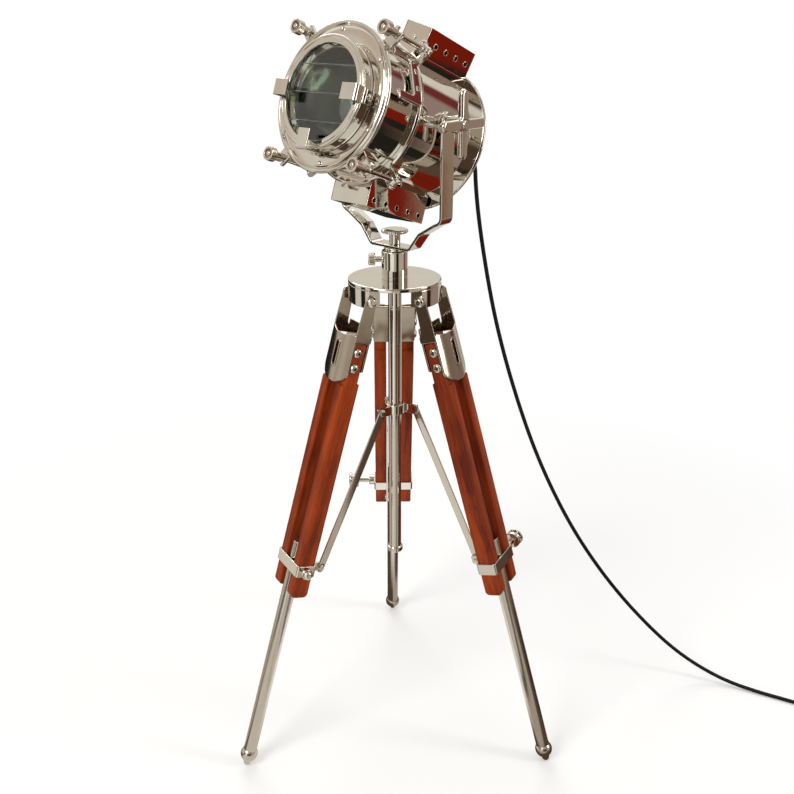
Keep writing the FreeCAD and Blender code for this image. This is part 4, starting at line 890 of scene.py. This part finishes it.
# Pan lock: a small turned thumbscrew in the side of the socket. Its round head has fluted
# edges, and its point bears on the yoke's stud.
piece("pan_thumbscrew", [lathe([(0, -5), (1.9, -5), (1.9, 0), (3, 0, 0.4), (3, 6, 0.6),
                                (5.9, 6.2, 0.5), (6.5, 7.2, 0.5), (6.5, 12.2, 0.6),
                                (5.3, 13, 0.6), (0, 13)],
                               along((-1, 0, 0), (-13.5, 0, crown_top + 18)),
                               flutes=(18, 0.35))], "pan_lock", "pan_lock_screw")


# Yoke: a flat bar bent into a U with sloping knees, its ends rounded into eyes for the head's
# trunnions. A turned flange and spigot under it turn in the socket.
def strap(path, thick, width, frame=Matrix(), edge=0.4):
    """A flat bar bent along (y, z) points; width is a function of the point."""
    shape = bmesh.new()
    rings = []
    half = thick / 2
    for number, here in enumerate(path):
        before = path[max(number - 1, 0)]
        after = path[min(number + 1, len(path) - 1)]
        tangent = (after - before).normalized()
        normal = Vector((-tangent.y, tangent.x))
        wide = width(here) / 2
        soft = min(edge, half * 0.9, wide * 0.9)
        ring = []
        for x, h, turn in ((1, -1, -90), (1, 1, 0), (-1, 1, 90), (-1, -1, 180)):
            for step in range(4):
                angle = math.radians(turn + 30 * step)
                side = x * (wide - soft) + math.cos(angle) * soft
                out = h * (half - soft) + math.sin(angle) * soft
                spot = here + normal * out
                ring.append(shape.verts.new((side, spot.x, spot.y)))
        rings.append(ring)
    for low, high in zip(rings, rings[1:]):
        for step in range(len(low)):
            after = (step + 1) % len(low)
            shape.faces.new((low[step], low[after], high[after], high[step]))
    shape.faces.new(rings[0])
    shape.faces.new(rings[-1])
    shape.transform(frame)
    return shape


trunnion_height = 693.4
flange_low = socket_top + 0.3
yoke_low = flange_low + 3
bar_thick = 3
bar_width = 17
base_line = yoke_low + bar_thick / 2
arm_middle = 63.3 + bar_thick / 2
eye_radius = 10
eye_start = -5.26
half_path = [(arm_middle, trunnion_height), (arm_middle, base_line + 32, 13),
             (56, base_line + 28, 5), (38, base_line + 17, 6), (25, base_line, 6)]
path = softened([(-out, up, *rounding) for out, up, *rounding in half_path]
                + half_path[::-1], closed=False, steps=8)
eye = [up for out, up in arc(0, trunnion_height, eye_radius, -31, 89, 36)]
path = ([Vector((-arm_middle, height)) for height in reversed(eye)] + path[1:-1]
        + [Vector((arm_middle, height)) for height in eye])


def yoke_width(point):
    """The bar's width, and at its ends the width of the eye's circle."""
    rise = point.y - trunnion_height
    if rise > eye_start:
        return 2 * math.sqrt(max(eye_radius ** 2 - rise * rise, 0.05))
    return bar_width


piece("yoke_bar", [strap(path, bar_thick, yoke_width, edge=0.7)], "yoke", "yoke", yoke_frame)
piece("yoke_flange", [lathe([(0, crown_top + 9), (8, crown_top + 9, 0.5), (8, flange_low),
                             (10.8, flange_low, 0.6), (10.8, yoke_low, 0.6), (3, yoke_low),
                             (3, yoke_low + 13), (0, yoke_low + 13)])], "yoke", "yoke_stud")


# Yoke knob: a short turned stem with a flat round head, fluted on its edge. It screws onto the
# stud and clamps the yoke down.
knob_low = yoke_low + 3.3
knob_neck = knob_low + 11.4
knob_top = knob_low + 14.9
piece("yoke_nut", [lathe([(3.1, knob_low), (5.6, knob_low, 0.4), (5.6, knob_neck, 0.8),
                          (12.9, knob_neck, 0.5), (13.5, knob_low + 12.2, 0.5),
                          (13.5, knob_low + 13.7, 0.8), (11.6, knob_top, 0.8),
                          (0, knob_top)], segments=120, flutes=(36, 0.3))],
      "yoke_knob", "yoke_knob")


# Tilt nuts: four-winged cast nuts, polished and plated, on the threaded ends of the trunnions.
# Tightened by hand, they hold the head at its tilt.
nut_low = 66.6
wing_middle = nut_low + 15.1
nut_high = nut_low + 18.1
for side, end in ((1, "left"), (-1, "right")):
    wings = []
    for quarter in range(4):
        turn = quarter * math.pi / 2
        for x, y, rounding in ((4.8, -5, 2.5), (27.5, -4.8, 4), (31.6, 0, 5), (27.5, 4.8, 4)):
            wings.append((x * math.cos(turn) - y * math.sin(turn),
                          x * math.sin(turn) + y * math.cos(turn), rounding))
    frame_here = Matrix.Translation((0, 0, trunnion_height)) @ along((0, side, 0))
    cross = plate([softened(wings)], 6, frame_here @ Matrix.Translation((0, 0, wing_middle)),
                  edge=2.2, steps=4)
    hub = lathe([(4.1, nut_low), (7, nut_low, 0.6), (7, nut_low + 12, 1.5), (7, nut_high, 1.4),
                 (4.1, nut_high, 0.5)], frame_here, closed=True, segments=72)
    piece("tilt_nut_%s_wings" % end, [cross, hub], "nut_" + end, "tilt_nut_" + end, yoke_frame)


# Drum: a spun brass drum, nickel plated and polished. A rolled belt stiffens its front end and
# carries the swing bolts.
def round_lamp(profile, **settings):
    """A shape turned about the lamp's axis; stations run forward."""
    return lathe(profile, along((1, 0, 0)), **settings)


def head_piece(name, shapes, node, **finish):
    return piece(name, shapes, "head", node, drum_frame, **finish)


drum_radius = 61.0
drum_wall_in = 54
drum_back = -50
drum_front = 44
belt_radius = 66.2
head_piece("drum_shell", [round_lamp(
    [(drum_wall_in, drum_back), (drum_radius, drum_back), (drum_radius, 36.6, 1.2),
     (62.6, 38, 0.6), (64.6, 38, 1.4), (belt_radius, 39.6, 1.2), (belt_radius, 42.4, 1.2),
     (64.6, drum_front, 1.2), (drum_wall_in, drum_front)], closed=True, segments=192)], "drum")


# Back cover: a shallow spun disc with a rolled rim that closes the drum. Four small screws
# hold it.
cover_screws = 57
shapes = [round_lamp([(0, -52.6), (34, -52.6), (36, -53.4, 0.8), (63.2, -53.6, 1.5),
                      (65.8, -53.2, 0.8), (66.4, -54, 0.6), (68.8, -54, 1.4), (70.1, -52.6, 1.2),
                      (70.1, -51.4, 1.2), (68.8, drum_back, 1.4), (0, drum_back)],
                     segments=192)]
for y, z in arc(0, 0, cover_screws, 45, 315, 3):
    shapes.append(lathe([(0, -0.5), (2.4, -0.5), (2.4, 0.1, 0.3), (1.4, 0.55, 1.0), (0, 0.6)],
                        along((-1, 0, 0), (-53.4, y, z)), segments=32))
head_piece("back_disc", shapes, "back_cover")


# Trunnions: a turned boss and a threaded stud on each side of the drum, on the tilt axis. They
# are riveted through the drum's wall.
shapes = [lathe([(0, 40), (10.5, 40), (10.5, 63, 0.6), (4, 63), (4, 86, 0.9), (0, 86)],
                along((0, side, 0)), segments=72) for side in (1, -1)]
piece("trunnion_posts", shapes, "head", "trunnions", head_frame)


# Front ring: a neck and a wide flange with a rolled edge, spun and plated, with six small
# rivets. Four forked lugs take the swing bolts that hold it to the drum.
def round_drum(degrees):
    """A turn about the lamp's axis: 0 is on the left nut's side, 90 on top."""
    return turned(degrees, "X")


bolt_turns = (47, 133, 227, -47)
shapes = [round_lamp([(59.8, 44.2), (61, 44.2, 0.4), (61, 82, 1.0), (63.4, 82),
                      *arc(64.8, 84.7, 2, -90, 120, 14),
                      (62.9, 85.0), (62.2, 84.6, 0.3), (61.7, 85.3), (60.2, 86.2),
                      (57.5, 86.4), (54.5, 86.5), (51.5, 86.4), (48.8, 86.2), (44, 86.2, 0.3),
                      (44, 82), (59.8, 82)], closed=True, segments=192)]
for degrees in bolt_turns:
    lug = softened([(60, -6), (83, -6, 2.5), (83, -3, 0.8), (78, -3, 2.8), (75, -3, 2.8),
                    (75, 3, 2.8), (78, 3, 2.8), (83, 3, 0.8), (83, 6, 2.5), (60, 6)])
    shapes.append(plate([lug], 4, round_drum(degrees) @ facing((0, 1, 0), (0, 0, 1),
                                                               (78, 0, 0)), edge=0.8))
for degrees in range(34, 394, 60):
    shapes.append(lathe([(0, 0), (2.4, 0), (2.4, 0.7, 0.4), (1.7, 2.2, 1.2), (0, 2.7)],
                        round_drum(degrees) @ along((1, 0, 0), (85.6, 58.5, 0)), segments=32))
head_piece("front_ring", shapes, "door_ring")


# Ring hinge: a flat U-shaped strap of plated steel on the side of the neck. Two rivets fix it
# to the drum.
hinge_turn = 25.4
strap_loop = softened([(45, -24, 5), (75.8, -24, 1), (75.8, -16, 1), (55, -16, 3), (55, 16, 3),
                       (75.8, 16, 1), (75.8, 24, 1), (45, 24, 5)])
shapes = [plate([strap_loop], 3.2, upright(64.9, round_drum(hinge_turn)), edge=1.1)]
for side in (8, -8):
    shapes.append(lathe([(0, -8), (2, -8), (2, 0.6), (3, 0.8, 0.3), (2.2, 1.9, 0.9), (0, 2)],
                        round_drum(hinge_turn) @ along((0, 1, 0), (49, 65, side)), segments=32))
head_piece("ring_strap", shapes, "door_hinge")


# Bezel: a turned brass collar in front of the flange whose double rim holds the glass, with a
# snap ring behind it. Small screws fix it.
shapes = [round_lamp([(44, 86.7), (48.6, 86.7, 0.3), (48.6, 87.6, 0.3), (48, 88.2, 0.3),
                      (48, 97, 0.5), (49.5, 97.2, 0.6), (49.5, 100, 1.1), (46.9, 100, 0.5),
                      (46.4, 99.5, 0.3), (45.9, 100, 0.4), (42, 100, 0.7), (42, 97, 0.3),
                      (44, 97)], closed=True, segments=192),
          round_lamp([(41.2, 87.2, 0.6), (44.2, 87.2), (44.2, 88.8), (41.2, 88.8, 0.6)],
                     closed=True, segments=160)]
for degrees in (-24, -52, -80, 24, 60, 120, 156, 204, 236):
    shapes.append(lathe([(0, 0), (1.7, 0), (1.7, 0.5, 0.2), (1.1, 1.1, 0.6), (0, 1.2)],
                        round_drum(degrees) @ along((0, 1, 0), (92.4, 47.8, 0)), segments=24))
head_piece("glass_rim", shapes, "bezel")


# Front glass: heat-proof glass cut into four level strips with ground, polished edges. The
# bezel's rims hold their ends.
pane, tree = new_material("front_glass")
marks = use_group(tree, marks_group, {"Size": 25.0, "Low": 0.0, "High": 0.03, "Grit": 500.0})
surface(tree, (0.88, 0.95, 0.92, 1), marks["Roughness"],
        {"Metallic": 0.0, "IOR": 1.5, "Transmission Weight": 1.0,
         "Normal": bump(tree, 0.3, 0.00008, marks["Height"])})
pane_edge, tree = new_material("glass_edge")
tone = mix_colours(tree, noise(tree, 260.0, 3.0), (0.72, 0.86, 0.80, 1), (0.95, 0.99, 0.97, 1))
surface(tree, tone, 0.35, {"Metallic": 0.0, "Transmission Weight": 0.35})
glass_radius = 43.8
glass_station = 95.45
panes = []
for low, high in ((-glass_radius, -24.7), (-24.3, -0.2), (0.2, 24.3), (24.7, glass_radius)):
    first = math.degrees(math.asin(low / glass_radius))
    last = math.degrees(math.asin(high / glass_radius))
    right = arc(0, 0, glass_radius, first, last, 24)
    loop = right + [(-x, y) for x, y in reversed(right)]
    loop = [loop[0]] + [b for a, b in zip(loop, loop[1:]) if math.dist(a, b) > 0.01]
    if math.dist(loop[0], loop[-1]) < 0.01:
        loop.pop()
    panes.append(plate([loop], 2.5, facing((0, 1, 0), (0, 0, 1), (glass_station, 0, 0)),
                       edge=0.18, steps=1))
strips = head_piece("glass_strips", panes, "glass", material=pane, slot="front_glass")
strips.data.materials.append(pane_edge)
lamp_axis = drum_frame.to_3x3() @ Vector((1, 0, 0))
for face in strips.data.polygons:
    if abs(face.normal.dot(lamp_axis)) < 0.8:
        face.material_index = 1


# Reflector: a spun bowl with faint marks, coloured dark grey-green as painted shade for the
# drum's dim inside. The front ring's neck holds it by its rim.
# Dark grey-green base colour: painted shade for the dim inside of the drum, with faint polish
# marks.
bowl_shaded_metal = metal("bowl_painted_shade", (0.27, 0.30, 0.26), (0.20, 0.22, 0.19), 0.06, 0.18, 0.0006)
bowl_centre = 66
bowl_radius = 50.8
bowl_outside = 52
bowl_from = -74.4
head_piece("reflector_bowl", [round_lamp(
    arc(0, bowl_centre, bowl_radius, bowl_from, 0, 24)
    + [(59.4, 66.2), (59.4, 65.2), (bowl_outside, 65.2)]
    + arc(0, bowl_centre, bowl_outside, 0, bowl_from, 24), closed=True, segments=160)],
    "reflector", material=bowl_shaded_metal, slot="bright_reflector")


# Lampholder and bulb: a glazed porcelain holder on a stem from the back cover, and a round
# clear bulb with a frosted inside screwed into it.
porcelain, tree = new_material("porcelain")
tone = mix_colours(tree, noise(tree, 70.0, 3.0), (0.74, 0.72, 0.67, 1), (0.84, 0.83, 0.79, 1))
surface(tree, tone, 0.22, {})
head_piece("holder", [round_lamp([(0, -50), (5, -50), (5, -5), (12, -5, 1.5), (13, -2, 1.5),
                                  (13, 5, 1), (11.8, 7, 1), (11.8, 10, 1), (13, 12, 1),
                                  (13, 18, 1.2), (0, 18)], segments=72)],
           "lampholder", material=porcelain, slot="porcelain")
envelope, tree = new_material("bulb_glass")
frost = rescale(tree, noise(tree, 160.0), 0, 1, 0.10, 0.22)
surface(tree, (0.92, 0.94, 0.92, 1), frost,
        {"Metallic": 0.0, "IOR": 1.45, "Transmission Weight": 0.8})
head_piece("bulb_envelope", [round_lamp([(0, 18), (12, 18), (12, 26, 6),
                                         *arc(0, 45, 20, -40, 80, 12), (0, 65)],
                                        segments=72)],
           "bulb", material=envelope, slot="bulb_glass")


# Vents: folded sheet hoods above and below the drum, each with a row of eyeletted holes along
# both sides. The upper one leans to one side, stands on a narrow sill and has a screw in front.
def block(x, y, z, edge=0.5, frame=Matrix(), steps=3):
    """A box between low and high faces with rounded edges."""
    shape = bmesh.new()
    bmesh.ops.create_cube(shape, size=1)
    for vert in shape.verts:
        vert.co = [low + (high - low) * (place + 0.5)
                   for place, (low, high) in zip(vert.co, (x, y, z))]
    bmesh.ops.bevel(shape, geom=shape.edges[:], offset=edge, segments=steps, profile=0.5,
                    affect="EDGES")
    shape.transform(frame)
    return shape


def hood(x, half, z, lid, holes):
    """Four sides and a lid folded into a box, with eyelets round the holes of two sides."""
    back, front = x
    low, high = z
    wall = 1.5
    side_loop = softened([(back, low, 0.3), (front, low, 0.3), (front, high, 0.3),
                          (back, high, 0.3)])
    sheets = [block((back + 0.05, front - 0.05), (-half + 0.05, half - 0.05),
                    (lid - wall / 2, lid + wall / 2), 0.25)]
    for side in (1, -1):
        loops = [side_loop] + [arc(*hole, 2.3, 0, 360, 32)[:-1] for hole in holes]
        sheets.append(plate(loops, wall, upright(side * (half - wall / 2)), edge=0.25))
        for station, up in holes:
            sheets.append(lathe([(2.1, -1.6), (2.9, -1.6), (2.9, 0.3, 0.25), (2.1, 0.3, 0.2)],
                                along((0, side, 0), (station, side * half, up)), closed=True,
                                segments=32))
    for station in (back, front - wall):
        sheets.append(block((station, station + wall), (-half + 0.1, half - 0.1),
                            (low + 0.05, high - 0.05), 0.25))
    return sheets


hood_lean = -14
hole_height = 77.5
holes = [(-41.3 + 15.5 * step, hole_height) for step in range(4)]
shapes = hood((-49.3, 19.3), 16.2, (58, 90.2), 89.4, holes)
shapes.append(block((-49.2, 21.8), (-18.7, 18.7), (57, 65), 0.5))
shapes.append(lathe([(0, -1), (2.6, -1), (2.6, 0.3, 0.3), (1.6, 1.2, 0.9), (0, 1.3)],
                    along((1, 0, 0), (19.3, 0, hole_height)), segments=32))
piece("top_hood", shapes, "head", "vent_top", drum_frame @ round_drum(hood_lean))
holes = [(36 - 83 * (step + 0.5) / 5, -75.6) for step in range(5)]
head_piece("bottom_hood", hood((-47, 36), 23.5, (-82.3, -52), -81.5, holes), "vent_bottom")


# Filter clips: three strips of spring steel, plated and screwed to the bezel. Their ends fold
# in over the glass to hold a colour filter.
clip_foot = 11
clip_head = 14
shapes = []
for degrees in (0, 180, -90):
    around_lamp = round_drum(degrees)
    path = softened([(88, 50.45), (107.95, 50.45, 1.6), (107.95, 33.5)], closed=False, steps=5)
    shapes.append(strap(path, 1.5, lambda point: clip_head if point.x > 94 else clip_foot,
                        around_lamp @ facing((0, 0, 1), (1, 0, 0))))
    shapes.append(block((88, 94.5), (46, 50.5), (-3.5, 3.5), 0.4, around_lamp))
    shapes.append(lathe([(0, -0.5), (3, -0.5), (3, 0.3, 0.3), (1.8, 1.4, 1), (0, 1.5)],
                        around_lamp @ along((0, 1, 0), (91.2, 51.2, 0)), segments=32))
head_piece("clips", shapes, "filter_clips")


# Swing bolts: four eye bolts hinged in forked ears on the belt, each with a round cup-faced nut
# on a long neck. They hold the front ring shut, and swing out to free it.
soft_nickel = metal("brushed_nickel", (0.74, 0.69, 0.61), (0.62, 0.57, 0.50), 0.20, 0.32,
                    0.00004)
pivot_station = 41
bolt_circle = 78
nut_seat = 80.6
shapes = []
for degrees in bolt_turns:
    turn = round_drum(degrees)
    shapes.append(block((37, 45), (64.2, 70), (-6, 6), 0.6, turn))
    for side in (1, -1):
        ear = softened([(37, 66), (45, 66), (45, 84, 3.9), (37, 84, 3.9)], steps=8)
        shapes.append(plate([ear], 2.9, turn @ facing((1, 0, 0), (0, 1, 0), (0, 0, side * 4.55)),
                            edge=0.5))
        shapes.append(lathe([(0, 0), (2.6, 0), (2.6, 1, 0.5), (0, 1)],
                            turn @ along((0, 0, side), (pivot_station, bolt_circle, side * 6)),
                            segments=32))
head_piece("bolt_ears", shapes, "bolt_clevises")
for number, degrees in enumerate(bolt_turns, 1):
    turn = round_drum(degrees)
    eye = lathe([(0, -2.9), (5, -2.9, 0.6), (5, 2.9, 0.6), (0, 2.9)],
                turn @ along((0, 0, 1), (pivot_station, bolt_circle, 0)), segments=48)
    shank = lathe([(0, 0), (2.4, 0), (2.4, 55.2, 0.4), (1.9, 56.2, 0.8), (0, 56.6)],
                  turn @ along((1, 0, 0), (pivot_station, bolt_circle, 0)), segments=40)
    piece("bolt_%d_eye" % number, [eye, shank], "bolt_%d" % number, "swing_bolt_%d" % number,
          drum_frame)
    nut = lathe([(2.5, 0), (4, 0, 0.4), (4, 9.2, 1.6), (6.5, 9.4, 0.6), (6.5, 16.4, 0.6),
                 (4.5, 16.4, 0.3), (4.4, 12.6, 0.3), (2.5, 12.6)],
                turn @ along((1, 0, 0), (nut_seat, bolt_circle, 0)), closed=True, segments=72)
    piece("bolt_%d_nut" % number, [nut], "bolt_nut_%d" % number, "swing_nut_%d" % number,
          drum_frame, soft_nickel, crease=18)


# Cord gland and switch: moulded black plastic on the back cover. The gland has a ribbed strain
# relief under a hexagon nut, and the rotary switch a finger ridge.
plastic, tree = new_material("black_plastic")
worn = noise(tree, 90.0, 3.0)
tone = mix_colours(tree, worn, (0.012, 0.012, 0.013, 1), (0.022, 0.021, 0.021, 1))
surface(tree, tone, rescale(tree, worn, 0, 1, 0.28, 0.45),
        {"Normal": bump(tree, 0.3, 0.0001, noise(tree, 1400.0, 1.0))})
gland_y = gland_side * 1000
switch_y = -26
ribs = [(5, 6.2, 0.4), (5, 16, 0.8)]
for step in range(8):
    station = 17.5 + step * 3.6
    radius = 3.7 - step * 0.115
    ribs += [(radius, station, 0.3), (radius, station + 1.9, 0.3),
             (radius - 0.75, station + 2.2, 0.2), (radius - 0.75, station + 3.3, 0.2)]
relief = lathe([(0, 5)] + ribs + [(2.7, 46.5, 0.4), (2.7, 48, 0.5), (0, 48)],
               along((-1, 0, 0), (-54, gland_y, 0)), segments=48)
gland_nut = plate([arc(0, 0, 7, 0, 300, 5)], 6, along((-1, 0, 0), (-57, gland_y, 0)), edge=0.5)
head_piece("gland_relief", [relief, gland_nut], "cord_gland", material=plastic,
           slot="black_plastic")
knob = lathe([(0, 0), (9, 0, 0.4), (9, 3.4, 0.8), (8, 4.8, 0.8), (0, 4.8)],
             along((-1, 0, 0), (-54.3, switch_y, 0)), flutes=(24, 0.35))
ridge = block((-66.3, -55), (switch_y - 2, switch_y + 2), (-8, 8), 0.9)
piece("switch_grip", [knob, ridge], "switch", "switch_knob", drum_frame, plastic,
      "black_plastic")


# Plug: a flat moulded plug with a ribbed tail, on the end of the lead. Its two blades are
# stamped from brass.
plug_x = (coil_centre.x + coil_radius + cord_diameter) * 1000
tail_y = coil_centre.y * 1000 + 12
plug_middle = 6.75
shapes = [block((plug_x - 11, plug_x + 11), (tail_y + 16, tail_y + 42), (0, 13.5), 2.2, steps=5)]
tail = [(0, 0), (2.7, 0, 0.3)]
for step in range(4):
    radius = 3.0 + 0.42 * step
    station = step * 3.7
    tail += [(radius, station + 1.5, 0.3), (radius, station + 3.9, 0.3),
             (radius - 0.7, station + 4.2, 0.2), (radius - 0.7, station + 4.9, 0.2)]
shapes.append(lathe(tail + [(4.4, 16), (0, 17)],
                    along((0, 1, 0), (plug_x, tail_y, plug_middle)), segments=48))
shapes.append(lathe([(0, 0), (2.25, 0), (2.25, 13), (0, 13)],
                    along((0, 1, 0), (plug_x, tail_y - 12, plug_middle)), segments=32))
plug = piece("plug_body", shapes, "yoke", "plug", material=plastic, slot="black_plastic")
brass = metal("plug_brass", (0.78, 0.60, 0.32), (0.60, 0.45, 0.25), 0.15, 0.3, 0.00003)
shapes = []
for side in (1, -1):
    blade = softened([(-3.15, 0), (3.15, 0), (3.15, 17.5, 1.2), (-3.15, 17.5, 1.2)])
    spot = (plug_x + side * 6.35, tail_y + 42, plug_middle)
    shapes.append(plate([blade, arc(0, 14, 1.5, 0, 360, 24)[:-1]], 1.5,
                        facing((0, 0, 1), (0, 1, 0), spot), edge=0.25))
blades = piece("plug_blades", shapes, "yoke", "plug_pins", material=brass)
